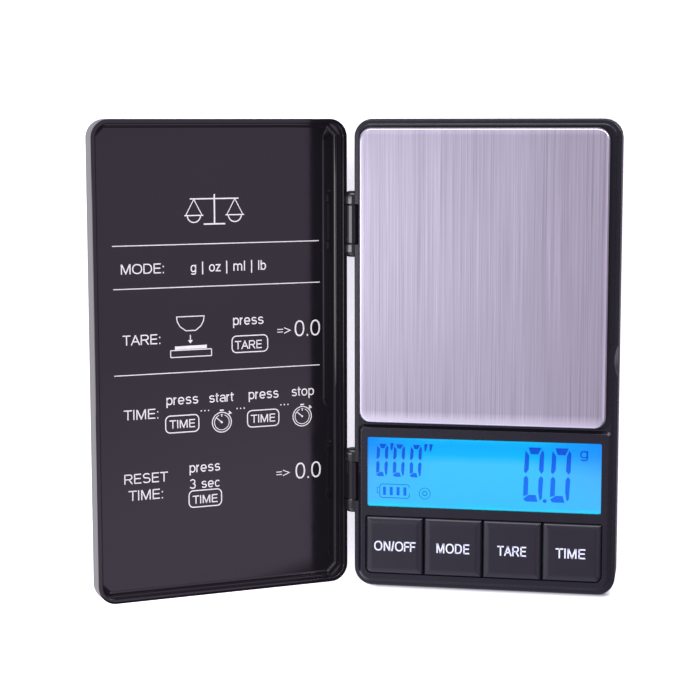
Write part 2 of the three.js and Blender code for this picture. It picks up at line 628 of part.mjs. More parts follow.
function contactBridge() {
  const dimple = barX(CELL.y[1], CELL.z, 2.2, -BAY.halfX + 0.2, -BAY.halfX + 0.9, 20);
  return join([contactPlate(-1, 38.6, 60), dimple, contactSpring(-1, CELL.y[0])]);
}

// ---------------------------------------------------------------- wires

const gaugeWires = [
  { name: 'load_cell_wire_red', color: 0xb3201f, offset: 0 },
  { name: 'load_cell_wire_black', color: 0x161616, offset: 1 },
  { name: 'load_cell_wire_green', color: 0x1f7a3a, offset: 2 },
  { name: 'load_cell_wire_white', color: 0xe6e4de, offset: 3 },
];

/** A strain-gauge wire from the side of the sealant to the edge of the board. */
function gaugeWire(offset) {
  const x = 7.8 + offset * 1.3;
  const z = 5.6 + offset * 1.2;
  return wire([
    [7.65, 2.5, z],
    [x + 1.6, 0.5, z],
    [x + 2.6, -6, z],
    [x + 3, -13, z + (8.5 - z) * 0.5],
    [x + 3, -18, 8.5],
    [x + 3, -20.6, 8.5],
  ], 0.4, 14);
}

/** A battery wire along the case wall from a contact to the edge of the board. */
function batteryWire(offset) {
  const x = 29.4 + offset * 1.5;
  return wire([
    [x, 37, 10.4],
    [x, 28, 9.6],
    [x + 0.3, 10, 6.5],
    [x + 0.3, -8, 6.5],
    [x - 1.5, -17, 8],
    [x - 1.5, -20.6, 8.5],
  ], 0.5, 16);
}

// ---------------------------------------------------------------- assembly

const scale = new THREE.Group();

function place(name, body, material, parent = scale) {
  const mesh = new THREE.Mesh(geometryOf(body), material);
  mesh.name = name;
  parent.add(mesh);
  return mesh;
}

place('lower_housing', lowerHousing(), plastic());
place('upper_housing', upperHousing(), plastic());
place('battery_door', batteryDoor(), plastic());
footPlaces.forEach((spot, i) => place(`foot_${i + 1}`, foot(spot), rubber()));
bossPlaces.forEach(([x, y], i) => {
  place(`case_screw_${i + 1}`, screw(x, y, { headR: 1.9, headZ: 1.1, headTop: 2.25, r: 0.95, tip: 11.6 }), steel());
});
HINGE.ys.forEach((y, i) => place(`hinge_pin_${i + 1}`, hingePin(y), steel()));

place('platform_tray', platformTray(), brushed());
place('platform_carrier', platformCarrier(), plastic());
place('load_cell', loadCell(), aluminium());
place('gauge_sealant', gaugeSealant(), silicone());
BEAM_BOLTS.forEach((y, i) => {
  place(`load_cell_screw_${i + 1}`, screw(0, y, { headR: 2.4, headZ: 1.1, headTop: 2.45, r: 1.35, tip: 9.8 }), steel());
});
PLATFORM_BOLTS.forEach((y, i) => place(`platform_screw_${i + 1}`, platformScrew(0, y), steel()));

place('circuit_board', circuitBoard(), board());
place('controller_chip', controllerChip(), epoxy());
place('lcd_backlight', lcdBacklight(), diffuser());
place('lcd_glass', lcdGlass(), blue());
place('lcd_frame', lcdFrame(), plastic());
place('zebra_strip', zebraStrip(), rubber());
place('display_window', displayWindow(), clear());
['on_off', 'mode', 'tare', 'time'].forEach((label, i) => {
  place(`key_${label}`, keyCap(i), plastic());
  place(`switch_${label}`, switchBody(i), epoxy());
  place(`plunger_${label}`, switchPlunger(i), silicone());
});

place('battery_1', batteryCell(CELL.y[0], 1), jacket(0x2f3136));
place('battery_2', batteryCell(CELL.y[1], -1), jacket(0x2f3136));
place('battery_contact_positive', contactPositive(), spring());
place('battery_contact_negative', contactNegative(), spring());
place('battery_bridge', contactBridge(), spring());
place('battery_wire_red', batteryWire(0), jacket(0xb3201f));
place('battery_wire_black', batteryWire(1), jacket(0x161616));
gaugeWires.forEach(({ name, color, offset }) => place(name, gaugeWire(offset), jacket(color)));

// The cover turns about the hinge pins.
const lid = new THREE.Group();
lid.position.set(HINGE.x, 0, HINGE.z);
lid.rotation.y = THREE.MathUtils.degToRad(-LID_OPEN_DEG);
scale.add(lid);
place('lid_shell', lidShell(), gloss(), lid).position.set(-HINGE.x, 0, -HINGE.z);

// Origin at the bottom centre of the bounding box, as the scale stands open.
const group = new THREE.Group();
group.add(scale);
group.updateMatrixWorld(true);
const box = new THREE.Box3().setFromObject(group, true);
scale.position.set(-(box.min.x + box.max.x) / 2, -(box.min.y + box.max.y) / 2, -box.min.z);

export default group;
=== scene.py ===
import json
import math
from functools import partialmethod

import bmesh
import bpy
from mathutils import Matrix, Vector


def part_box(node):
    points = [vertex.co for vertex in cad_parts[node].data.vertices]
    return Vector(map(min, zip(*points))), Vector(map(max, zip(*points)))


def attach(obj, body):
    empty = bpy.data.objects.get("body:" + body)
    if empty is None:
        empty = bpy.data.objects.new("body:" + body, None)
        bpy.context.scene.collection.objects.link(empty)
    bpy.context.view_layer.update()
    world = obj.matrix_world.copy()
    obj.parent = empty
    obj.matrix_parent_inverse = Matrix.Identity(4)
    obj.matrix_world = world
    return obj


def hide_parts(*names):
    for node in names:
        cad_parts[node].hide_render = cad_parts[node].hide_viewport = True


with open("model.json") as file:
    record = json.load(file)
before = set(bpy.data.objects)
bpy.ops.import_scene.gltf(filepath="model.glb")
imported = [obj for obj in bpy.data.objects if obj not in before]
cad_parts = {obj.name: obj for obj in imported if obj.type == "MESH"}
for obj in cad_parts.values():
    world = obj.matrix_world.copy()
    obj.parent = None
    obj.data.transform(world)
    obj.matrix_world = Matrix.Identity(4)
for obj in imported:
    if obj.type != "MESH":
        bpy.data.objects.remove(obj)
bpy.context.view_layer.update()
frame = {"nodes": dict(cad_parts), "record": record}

# Digital gram scale with a hinged cover, standing open. Shapes are written in millimetres, centred on the
# case in X and Y with Z from the table, as the CAD is; to_row() takes them to the row frame in metres.
# Lights, camera and texture scales are in metres.

MM = 0.001
case_lo, case_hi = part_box("lower_housing")
CASE_X = (case_lo.x + case_hi.x) / 2
HALF_X, HALF_Y, CORNER = 36.5, 65.45, 5
HINGE_X, HINGE_Z, HINGE_YS = -37.2, 10.9, (36.45, -35.8)
LID_OPEN = Matrix.Rotation(math.radians(-146.4), 4, "Y")
OUTLINE = dict(w=2 * HALF_X, l=2 * HALF_Y, corners=(CORNER,) * 4)
TRAY = dict(w=68.2, l=81.5, corners=(3.5, 3.7, 3.2, 3.2), cx=-0.55, cy=22.3)
DECK = dict(w=2 * HALF_X, l=47.55, corners=(3.1, 3.1, CORNER, CORNER), cy=-41.675)
WINDOW = dict(w=64.8, l=19.4, corners=(0.5,) * 4, cy=-32.55)
KEY_NAMES = ("on_off", "mode", "tare", "time")
KEY_PITCH, KEY_GAP, KEY_L, KEY_Y = 16.5, 0.45, 16.1, -53.3
KEY_XS = [(i - 1.5) * KEY_PITCH for i in range(4)]

# Heights. The case's top half: its foot, its plate from below, its ledge, its pocket's floor and its lip.
FOOT_Z, PLATE_Z, LEDGE_Z, POCKET_Z, LIP_Z = 6.8, 12.3, 13.4, 13.42, 14.2
# The frame round window and keys, the display's glass, and the tray's and the keys' edges and tops.
FRAME_Z, GLASS_Z, TRAY_EDGE_Z, TRAY_Z = 15.2, 13.72, 14.4, 17.0
KEY_FOOT_Z, KEY_EDGE_Z, KEY_Z = 12.95, 15.0, 15.9
# The shut cover: its rim, the step inside it, its inner floor and its outside.
RIM_Z, STEP_Z, FLOOR_Z, COVER_Z = 13.6, 15.4, 18.1, 20.0
# Printing is a thin film, just clear of what it is printed on.
FILM_THICK, FILM_GAP = 0.02, 0.004


def to_row(p):
    return Vector((p[0] * MM + CASE_X, p[1] * MM, p[2] * MM))


def opened(p):
    """A point of the cover, given with the cover shut, where it is with the cover open."""
    turned = LID_OPEN @ Vector((p[0] - HINGE_X, p[1], p[2] - HINGE_Z))
    return to_row((turned.x + HINGE_X, turned.y, turned.z + HINGE_Z))


# -------- materials


class Graph:
    """Short ways to build a node tree. place is the coordinate that its textures use."""

    def __init__(self, tree, coordinate):
        self.tree = tree
        self.place = self.node("ShaderNodeTexCoord").outputs[coordinate]

    def node(self, kind, **values):
        made = self.tree.nodes.new(kind)
        for key, value in values.items():
            if key in made.inputs:
                made.inputs[key].default_value = value
            else:
                setattr(made, key, value)
        return made

    def link(self, source, target):
        self.tree.links.new(source, target)

    def stretched(self, scale):
        mapping = self.node("ShaderNodeMapping", Scale=scale)
        self.link(self.place, mapping.inputs["Vector"])
        return mapping.outputs["Vector"]

    def noise(self, scale, detail, rough=0.5, vector=None):
        made = self.node("ShaderNodeTexNoise", Scale=scale, Detail=detail, Roughness=rough)
        self.link(vector or self.place, made.inputs["Vector"])
        return made.outputs["Fac"]

    def ramp(self, source, stops):
        made = self.node("ShaderNodeValToRGB")
        ramp = made.color_ramp
        while len(ramp.elements) < len(stops):
            ramp.elements.new(0.5)
        for element, (at, color) in zip(ramp.elements, stops):
            element.position = at
            element.color = (*color, 1) if isinstance(color, tuple) else (color, color, color, 1)
        self.link(source, made.inputs["Fac"])
        return made.outputs["Color"]

    def axes(self):
        split = self.node("ShaderNodeSeparateXYZ")
        self.link(self.place, split.inputs["Vector"])
        return split.outputs

    def spread(self, source, low, high, start=0.0, end=1.0):
        """Maps start..end to low..high, and holds the ends."""
        ends = {"From Min": start, "From Max": end, "To Min": low, "To Max": high}
        made = self.node("ShaderNodeMapRange", **ends)
        self.link(source, made.inputs["Value"])
        return made.outputs["Result"]

    def along(self, axis, start, end, low=0.0, high=1.0):
        """Maps two places on an axis, in the shapes' millimetres, to low and high."""
        shift = CASE_X if axis == "X" else 0.0
        return self.spread(self.axes()[axis], low, high, start * MM + shift, end * MM + shift)

    def fed(self, made, values):
        """Links or sets a node's inputs, and gives its output."""
        for socket, value in zip(made.inputs, values):
            if isinstance(value, bpy.types.NodeSocket):
                self.link(value, socket)
            else:
                socket.default_value = (*value, 1) if isinstance(value, tuple) else value
        return made.outputs[0]

    def math(self, kind, a, b=0.0):
        return self.fed(self.node("ShaderNodeMath", operation=kind), (a, b))

    def folded(self, kind, first, *others):
        for other in others:
            first = self.math(kind, first, other)
        return first

    plus = partialmethod(folded, "ADD")
    times = partialmethod(folded, "MULTIPLY")
    most = partialmethod(folded, "MAXIMUM")

    def mix(self, fac, a, b, blend="MIX"):
        return self.fed(self.node("ShaderNodeMixRGB", blend_type=blend), (fac, a, b))


MATERIALS = {}


class Nodes(Graph):
    """A node material with its Principled shader, kept in MATERIALS."""

    def __init__(self, name, color, roughness, metallic=0.0, **sockets):
        made = MATERIALS[name] = bpy.data.materials.new(name)
        made.use_nodes = True
        super().__init__(made.node_tree, "Object")
        self.shader = self.tree.nodes["Principled BSDF"]
        self.set("Base Color", (*color, 1))
        self.set("Roughness", roughness)
        self.set("Metallic", metallic)
        for socket, value in sockets.items():
            self.set(socket.replace("_", " "), value)

    def set(self, socket, value):
        self.shader.inputs[socket].default_value = value

    def color(self, source, target="Base Color"):
        self.link(source, self.shader.inputs[target])

    def rough(self, source):
        self.link(source, self.shader.inputs["Roughness"])

    def bump(self, source, depth, strength=1.0):
        made = self.node("ShaderNodeBump", Strength=strength, Distance=depth)
        self.link(source, made.inputs["Height"])
        self.link(made.outputs["Normal"], self.shader.inputs["Normal"])


def shades(color, low, high=1.0, end=0.7):
    """Stops of a ramp from a darker to a lighter shade of a colour."""
    return [(0.3, tuple(c * low for c in color)), (end, tuple(c * high for c in color))]


def srgb(r, g, b):
    """An 8-bit display colour as linear values."""
    return tuple(((c / 255 + 0.055) / 1.055) ** 2.4 if c > 10 else c / 255 / 12.92 for c in (r, g, b))


# A painted glow for light that black plastic scatters back at any angle; painted light on the thumb notch.
SCATTERED = (0.0028, 0.0025, 0.0034)
NOTCH_LIGHT_PAINT = (0.15, 0.145, 0.15)


def moulded(name, color, roughness, grain, depth, shine, vary=0.06, painted_notch_light=False):
    """Moulded plastic: fine grain in the normal, slow drift in colour and gloss, and a faint painted glow.
    """
    m = Nodes(name, color, roughness, Specular_IOR_Level=shine, Emission_Strength=1.0)
    m.set("Emission Color", (*SCATTERED, 1))
    shade = m.ramp(m.noise(45, 4), shades(color, 0.8, 1.2))
    if painted_notch_light:
        # Painted light: the thumb notch is painted paler, as if lit, most of all at its +Y end.
        across = (m.along("X", 35.3, 35.5), m.along("X", 36.35, 36.46, 1.0, 0.0))
        ends = m.spread(m.math("ABSOLUTE", m.axes()["Y"]), 1.0, 0.0, 0.0034, 0.0041)
        up = (m.along("Z", 9.4, 9.55), m.along("Z", 13.1, 13.4, 1.0, 0.0))
        notch = m.times(*across, ends, *up, m.along("Y", -2.2, 0.6, 0.35, 1.0))
        shade = m.mix(notch, shade, NOTCH_LIGHT_PAINT)
    m.color(shade)
    m.rough(m.spread(m.noise(160, 5, 0.6), roughness - vary, roughness + vary))
    m.bump(m.noise(grain, 2), depth)


def brushed_steel():
    """Steel brushed along Y; painted shade makes it a little darker at the hinge side."""
    m = Nodes("brushed_steel", (0.6, 0.57, 0.66), 0.34, 1.0)
    fine = m.noise(1, 3, 0.75, m.stretched((2700, 13, 60)))
    broad = m.noise(1, 3, 0.5, m.stretched((420, 5.0, 8)))
    streaks = m.plus(m.times(fine, 0.91), m.times(broad, 0.09))
    # Painted shade: the colour darkens towards the hinge side.
    tone = m.ramp(m.along("X", -34, 34), [
        (0.0, (0.445, 0.414, 0.5)), (0.3, (0.485, 0.452, 0.54)), (0.6, (0.52, 0.485, 0.575)),
        (1.0, (0.515, 0.467, 0.55)),
    ])
    marks = m.ramp(streaks, [(0.3, 0.72), (0.5, 1.0), (0.7, 1.22)])
    # The front roll has one even tone and hardly any brush marks, under its painted highlight.
    calm = m.along("Y", -17.2, -15.8, 0.9, 0.0)
    marks = m.mix(calm, marks, (1.0, 1.0, 1.0))
    tone = m.mix(m.times(calm, 0.6), tone, (0.52, 0.487, 0.535))
    # Painted shade darkens the skirt, and painted highlights brighten the rolls at the front, rear and
    # right.
    painted_skirt_shade = m.along("Z", 15.8, 16.25, 0.1, 1.0)
    front = m.along("Y", -17.6, -14.8, 1.6, 1.0)
    rear = m.along("Y", 61.0, 62.7, 1.0, 1.4)
    right = m.along("X", 32.2, 32.9, 1.0, 1.6)
    painted_roll_light_and_skirt_shade = m.times(painted_skirt_shade, m.most(front, rear, right))
    m.color(m.mix(1.0, m.mix(1.0, tone, marks, "MULTIPLY"), painted_roll_light_and_skirt_shade, "MULTIPLY"))
    m.rough(m.spread(streaks, 0.24, 0.36))
    m.bump(streaks, 2e-5, 0.3)


def bright_metal(name, color, roughness, scale):
    m = Nodes(name, color, roughness, 1.0)
    cloud = m.noise(scale, 4, 0.6)
    m.color(m.ramp(cloud, shades(color, 0.82)))
    m.rough(m.spread(cloud, roughness * 0.7, roughness * 1.4))
    m.bump(m.noise(scale * 6, 2), 1e-5, 0.3)


def soft_rubber(name, color, roughness):
    m = Nodes(name, color, roughness)
    m.color(m.ramp(m.noise(300, 4), shades(color, 0.75, 1.3)))
    m.rough(m.spread(m.noise(900, 3), roughness - 0.1, min(1.0, roughness + 0.08)))
    m.bump(m.noise(2600, 2), 4e-5, 0.5)


def clear_window():
    m = Nodes("window", (0.97, 0.985, 1.0), 0.0, Transmission_Weight=1.0, IOR=1.12)
    m.rough(m.spread(m.noise(220, 4), 0.0, 0.004))
    m.color(m.ramp(m.noise(90, 2), [(0.3, (0.96, 0.98, 1.0)), (0.7, (0.98, 0.99, 1.0))]))


def lit_display():
    """Back-lit display: deep blue towards its upper corners, a cyan band along the top, paler below."""
    m = Nodes("lcd", (0.0, 0.02, 0.06), 0.3, Emission_Strength=1.0, Specular_IOR_Level=0.1)
    blotches = m.times(m.math("SUBTRACT", m.noise(70, 2), 0.5), 0.1)
    down = m.plus(m.along("Y", -22.65, -42.35), blotches)
    middle = m.ramp(down, [
        (0.0, srgb(16, 196, 255)), (0.1, srgb(0, 172, 253)), (0.24, srgb(4, 182, 254)),
        (0.36, srgb(66, 196, 255)), (0.93, srgb(62, 192, 254)), (0.975, srgb(54, 200, 255)),
        (1.0, srgb(34, 216, 255)),
    ])
    ends = m.ramp(down, [
        (0.0, srgb(6, 138, 250)), (0.2, srgb(34, 146, 251)), (0.5, srgb(76, 180, 253)),
        (0.95, srgb(72, 188, 254)), (1.0, srgb(40, 214, 255)),
    ])
    edge = m.ramp(m.along("X", -32.5, 32.5), [
        (0.0, 1.0), (0.1, 0.55), (0.26, 0.1), (0.4, 0.0), (0.7, 0.0), (0.88, 0.7), (1.0, 1.0),
    ])
    m.color(m.mix(edge, middle, ends), "Emission Color")


def lit_segment(name, top, bottom):
    """Dark part of the display, deeper at the top of the glass."""
    m = Nodes(name, (0.0, 0.02, 0.06), 0.4, Emission_Strength=1.0, Specular_IOR_Level=0.1)
    wave = m.plus(m.along("Y", -24.5, -34.5), m.times(m.noise(260, 2), 0.2))
    m.color(m.ramp(wave, [(0.12, top), (0.95, bottom)]), "Emission Color")


def printed(name, color, glow):
    # Painted glow: the ink glows a little, so the printing looks brightly lit.
    m = Nodes(name, color, 0.5, Emission_Strength=glow)
    m.color(m.ramp(m.noise(900, 3), shades(color, 0.9, end=0.6)))
    m.set("Emission Color", (*color, 1))
    m.bump(m.noise(1500, 2), 1e-5, 0.3)


def circuit_board():
    m = Nodes("circuit_board", (0.01, 0.12, 0.04), 0.4)
    traces = m.node("ShaderNodeTexBrick", Scale=420.0)
    m.link(m.place, traces.inputs["Vector"])
    greens = {"Color1": (0.008, 0.13, 0.045), "Color2": (0.012, 0.17, 0.06), "Mortar": (0.02, 0.24, 0.09)}
    for socket, green in greens.items():
        traces.inputs[socket].default_value = (*green, 1)
    m.color(traces.outputs["Color"])
    m.bump(m.noise(800, 2), 2e-5, 0.3)


def battery_jacket():
    """Printed sleeve: dark body with a copper band at one third of its length."""
    m = Nodes("battery_jacket", (0.03, 0.03, 0.035), 0.3)
    copper, dark = (0.45, 0.2, 0.08), (0.02, 0.02, 0.024)
    wave = m.plus(m.along("X", -22, 22), m.times(m.noise(400, 2), 0.01))
    m.color(m.ramp(wave, [(0.0, copper), (0.3, copper), (0.32, dark), (1.0, dark)]))
    m.bump(m.noise(1200, 2), 1e-5, 0.2)


def wire_skin(name, color):
    m = Nodes(name, color, 0.45)
    m.color(m.ramp(m.noise(700, 3), shades(color, 0.8)))
    m.bump(m.noise(1600, 2), 1e-5, 0.3)


# The record's slots, and then what the extra pieces are made of.
CASE_BLACK, KEY_BLACK = (0.0058, 0.0046, 0.0105), (0.0075, 0.006, 0.013)
COVER_BLACK, EAR_BLACK = (0.004, 0.0028, 0.005), (0.0045, 0.0035, 0.0065)
moulded("case_plastic", CASE_BLACK, 0.27, 3200, 1e-5, 0.36, painted_notch_light=True)
moulded("key_plastic", KEY_BLACK, 0.25, 2600, 1e-5, 0.48)
moulded("lid_plastic", COVER_BLACK, 0.025, 300, 5e-7, 0.5, 0.015)
brushed_steel()
bright_metal("zinc_steel", (0.62, 0.62, 0.63), 0.28, 600)
bright_metal("spring_steel", (0.7, 0.68, 0.62), 0.26, 500)
bright_metal("aluminium", (0.7, 0.71, 0.73), 0.38, 300)
soft_rubber("rubber", (0.012, 0.012, 0.013), 0.8)
soft_rubber("silicone", (0.72, 0.7, 0.66), 0.5)
clear_window()
lit_display()
soft_rubber("diffuser", (0.75, 0.8, 0.85), 0.45)
circuit_board()
soft_rubber("black_epoxy", (0.008, 0.008, 0.009), 0.3)
battery_jacket()
wire_skin("wire_red", (0.45, 0.012, 0.01))
wire_skin("wire_black", (0.01, 0.01, 0.01))
wire_skin("wire_green", (0.01, 0.19, 0.04))
wire_skin("wire_white", (0.75, 0.73, 0.68))
printed("white_ink", (0.72, 0.71, 0.71), 0.18)
printed("key_ink", (0.66, 0.69, 0.8), 0.2)
# The ears' copy of the case plastic: glossier, and darker in colour as painted shade.
moulded("ear_plastic", EAR_BLACK, 0.14, 3200, 4e-6, 0.7, 0.04)
lit_segment("lcd_segment", srgb(0, 66, 206), srgb(24, 106, 238))
lit_segment("lcd_symbol", srgb(4, 92, 192), srgb(22, 124, 206))


# -------- mesh building

QUADRANTS = ((1, 1), (-1, 1), (-1, -1), (1, -1))
CORNER_STEPS = 12
SHARP = math.radians(32)


def ring(w, l, corners, z, inset=0.0, cx=0.0, cy=0.0, steps=CORNER_STEPS, right=(), left=()):
    """Points round a rectangle with rounded corners, counter-clockwise from its +X +Y corner. left and right
    are the Y places of extra points along those two sides."""
    points = []
    half_w, half_l = w / 2 - inset, l / 2 - inset
    for side, (sx, sy) in enumerate(QUADRANTS):
        r = max(corners[side] - inset, 0.12)
        middle_x, middle_y = cx + sx * (half_w - r), cy + sy * (half_l - r)
        for i in range(steps + 1):
            a = (side + i / steps) * math.pi / 2
            points.append((middle_x + r * math.cos(a), middle_y + r * math.sin(a), z))
        if side == 1:
            points += [(cx - half_w, y, z) for y in sorted(left, reverse=True)]
    points += [(cx + half_w, y, z) for y in sorted(right)]
    return points


def cut_corner_ring(half_x, half_y, size, z):
    """Like ring(), with straight 45-degree corners."""
    points = []
    for side, (sx, sy) in enumerate(QUADRANTS):
        along_y = Vector((sx * half_x, sy * (half_y - size), z))
        along_x = Vector((sx * (half_x - size), sy * half_y, z))
        a, b = (along_y, along_x) if side % 2 == 0 else (along_x, along_y)
        points += [tuple(a.lerp(b, i / CORNER_STEPS)) for i in range(CORNER_STEPS + 1)]
    return points


def fillet(inset0, z0, inset1, z1, convex_up=True, steps=5):
    """Quarter-round steps between two (inset, z) places: upright and then level, or the other way round."""
    made = []
    for i in range(steps + 1):
        a = i / steps * math.pi / 2
        u, v = (1 - math.cos(a), math.sin(a)) if convex_up else (math.sin(a), 1 - math.cos(a))
        made.append((inset0 + (inset1 - inset0) * u, z0 + (z1 - z0) * v))
    return made


def to_mesh(bm, name):
    mesh = bpy.data.meshes.new(name)
    bm.to_mesh(mesh)
    bm.free()
    return mesh


def add_object(name, data):
    obj = bpy.data.objects.new(name, data)
    bpy.context.scene.collection.objects.link(obj)
    return obj


class Shape:
    """A mesh that is put together from rings, turned bars and blocks."""

    def __init__(self):
        self.bm = bmesh.new()

    def verts(self, points):
        return [self.bm.verts.new(p) for p in points]

    def strip(self, a, b):
        n = len(a)
        for i in range(n):
            j = (i + 1) % n
            self.bm.faces.new((a[i], a[j], b[j], b[i]))

    def loft(self, rings, caps=True):
        made = [self.verts(r) for r in rings]
        for a, b in zip(made, made[1:]):
            self.strip(a, b)
        if caps:
            self.bm.faces.new(list(reversed(made[0])))
            self.bm.faces.new(made[-1])
        return made

    def fill(self, loops, normal):
        """Flat face between closed loops of vertices, with the inner loops left open."""
        edges = [self.bm.edges.get((v[i], v[(i + 1) % len(v)])) for v in loops for i in range(len(v))]
        bmesh.ops.triangle_fill(self.bm, edges=edges, use_beauty=False, use_dissolve=True, normal=normal)

    def turned(self, centre, axis, profile, steps=32):
        """A closed body of revolution: profile lists (radius, place along the axis) from end to end."""
        turn = Vector((0, 0, 1)).rotation_difference(Vector(axis)).to_matrix()
        rings = []
        for r, h in profile:
            rings.append([
                tuple(Vector(centre) + turn @ Vector((r * math.cos(t), r * math.sin(t), h)))
                for t in (i / steps * 2 * math.pi for i in range(steps))
            ])
        self.loft(rings)

    def block(self, lo, hi, soft):
        """A block between two corners with rounded edges."""
        size = Vector(hi) - Vector(lo)
        middle = (Vector(hi) + Vector(lo)) / 2
        placed = Matrix.Translation(middle) @ Matrix.Diagonal((*size, 1))
        made = bmesh.ops.create_cube(self.bm, size=1.0, matrix=placed)
        edges = list({e for v in made["verts"] for e in v.link_edges})
        bmesh.ops.bevel(self.bm, geom=edges, offset=soft, segments=3, affect="EDGES", profile=0.5)

    def done(self, name, body, slot, place=to_row, material=None, stands_for=()):
        bmesh.ops.remove_doubles(self.bm, verts=self.bm.verts, dist=1e-5)
        bmesh.ops.recalc_face_normals(self.bm, faces=self.bm.faces)
        for v in self.bm.verts:
            v.co = place(v.co)
        for f in self.bm.faces:
            f.smooth = True
        mesh = to_mesh(self.bm, name)
        mesh.set_sharp_from_angle(angle=SHARP)
        finished(name, mesh, body, slot, material, stands_for)


def even_normals(obj):
    normals = obj.modifiers.new("flat faces", "WEIGHTED_NORMAL")
    normals.keep_sharp = True


def finished(name, mesh, body, slot, material, stands_for=()):
    mesh.materials.append(MATERIALS[material or slot])
    obj = add_object(name, mesh)
    even_normals(obj)
    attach(obj, body)
    if stands_for:
        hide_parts(*stands_for)


# -------- case

# An ear starts EAR_HALF from its hinge's middle, where the notch in the wall ends.
EAR_HALF, EAR_R, EAR_ROOT = 5.6, 2.45, 2.6
NOTCH_R, NOTCH_Z, NOTCH_DEPTH = 2.4, 7.7, 1.35
# The thumb notch is part of an upright cylinder.
THUMB_X, THUMB_R, THUMB_Z, THUMB_HALF = HALF_X + 9.2, 10.2, 9.6, 4.4
# Extra points of the wall, at the notches.
NOTCH_YS = (EAR_HALF + 0.03, EAR_HALF - 0.03, 0.4 * EAR_HALF)
LEFT_YS = [y + s * d for y in HINGE_YS for s in (1, -1) for d in NOTCH_YS]
RIGHT_YS = [i * 0.4 for i in range(-12, 13)]


def recessed(point):
    """Where a point of the case's wall goes, once the thumb notch and the hinge notches are cut in."""
    x, y, z = point
    if x > 0 and abs(y) < THUMB_HALF and z > THUMB_Z:
        x = min(x, THUMB_X - math.sqrt(THUMB_R ** 2 - y * y))
    if x < 0 and z > NOTCH_Z and any(abs(y - at) < EAR_HALF for at in HINGE_YS):
        reach = NOTCH_R ** 2 - (z - HINGE_Z) ** 2
        hollow = HINGE_X + math.sqrt(reach) if reach > 0 else -HALF_X
        x = max(x, hollow, -HALF_X + NOTCH_DEPTH if z > HINGE_Z else hollow)
    return (x, y, z)


def case_top():
    """The case's upper half: its wall, the tray's pocket, a well for the carrier's boss, and a hatch under
    the window and the keys."""
    shape = Shape()
    wall = [(2.4, PLATE_Z), (2.4, 7.0), (2.3, FOOT_Z), (0.15, FOOT_Z), (0.04, 6.84), (0, 6.95)]
    wall += [(0, z) for z in (7.6, 7.8, 8.3, 8.9, 9.57, 9.63, 10.3, 10.9, 10.95, 11.6, 12.2, 12.8)]
    wall += fillet(0, 12.8, 0.6, LEDGE_Z)[1:]
    wall += [(1.12, LEDGE_Z), (1.22, 13.43), (1.28, 13.5), (1.3, 13.93), (1.305, 13.99), (1.32, 14.02)]
    wall += [(1.6, 14.186), (1.63, LIP_Z)]
    rings = []
    for inset, z in wall:
        points = ring(**OUTLINE, z=z, inset=inset, right=RIGHT_YS, left=LEFT_YS)
        rings.append([recessed(p) for p in points] if inset < 1.2 else points)
    made = shape.loft(rings, caps=False)
    lip, ceiling = made[-1], made[0]

    def opening(w, l, corner, cy, top, bottom):
        return shape.loft([ring(w, l, (corner,) * 4, z, cy=cy) for z in (top, bottom)], caps=False)

    pocket_top, pocket_floor = opening(69.7, 82.3, 3.0, TRAY["cy"], LIP_Z, POCKET_Z)
    well_top, well_foot = opening(14.4, 16.4, 0.3, 22, POCKET_Z, PLATE_Z)
    hatch_top, hatch_foot = opening(67.0, 41.0, 0.4, -41.6, LIP_Z, PLATE_Z)
    shape.fill([lip, pocket_top, hatch_top], (0, 0, 1))
    shape.fill([pocket_floor, well_top], (0, 0, 1))
    shape.fill([ceiling, well_foot, hatch_foot], (0, 0, -1))
    shape.done("case_top", "case", "case_plastic", stands_for=["upper_housing"])


def case_deck():
    """Raised frame round the window and the keys."""
    shape = Shape()
    gap = 0.5
    keys_w = len(KEY_XS) * KEY_PITCH - KEY_GAP + gap
    key_hole = dict(w=keys_w, l=KEY_L + gap, corners=(0.7, 0.7, 1.8, 1.8), cy=KEY_Y)
    glass_hole = dict(WINDOW, w=65.0, l=19.6)
    foot = 13.8
    side = [(1.27, foot), (1.27, 14.0), (1.32, 14.14), (1.42, 14.26), (2.0, 14.98)]
    side += [(2.07, 15.06), (2.17, 15.13), (2.3, 15.18), (2.46, FRAME_Z)]
    outer = shape.loft([ring(**DECK, z=z, inset=inset) for inset, z in side], caps=False)
    rim = [(-0.12, FRAME_Z), (-0.04, 15.17), (0, 15.08), (0, foot)]
    holes = [
        shape.loft([ring(**hole, z=z, inset=inset) for inset, z in rim], caps=False)
        for hole in (glass_hole, key_hole)
    ]
    shape.fill([outer[-1]] + [hole[0] for hole in holes], (0, 0, 1))
    shape.fill([outer[0]] + [hole[-1] for hole in holes], (0, 0, -1))
    shape.done("case_deck", "case", "case_plastic")


def case_ears():
    """Hinge ears: round-nosed lugs, each with a root that runs into the case wall."""
    profile = [
        (0.86, 0.6), (0.86, -0.2), (0.95, -0.27), (1.75, -0.27), (1.82, -0.2), (1.85, 0), (2.3, 0),
        (2.41, 0.04), (EAR_R, 0.15), (EAR_R, 2.0), (2.41, 2.4), (2.28, 2.8), (2.05, 3.12), (1.7, 3.38),
        (1.2, 3.54), (0.6, 3.6),
    ]
    places = [(y, side) for y in HINGE_YS for side in (1, -1)]
    for n, (y, side) in enumerate(places, 1):
        shape = Shape()
        inner = y + side * EAR_HALF
        shape.turned((HINGE_X, inner, HINGE_Z), (0, side, 0), profile)
        y0, y1 = sorted((inner, inner + side * EAR_ROOT))
        shape.block((HINGE_X, y0, HINGE_Z - EAR_R), (-HALF_X + 1, y1, HINGE_Z + 1.6), 0.3)
        shape.done(f"hinge_ear_{n}", "case", "case_plastic", material="ear_plastic")


def tray_height(inset):
    """The tray's top: a steep roll at its edge that runs into a faint crown."""
    roll_w, roll_h, crown_w, crown_h = 0.95, 0.8, 2.2, 0.05
    roll = roll_h * max(0.0, 1 - inset / roll_w) ** 4
    return TRAY_Z - roll - crown_h * (1 - inset / crown_w) ** 2


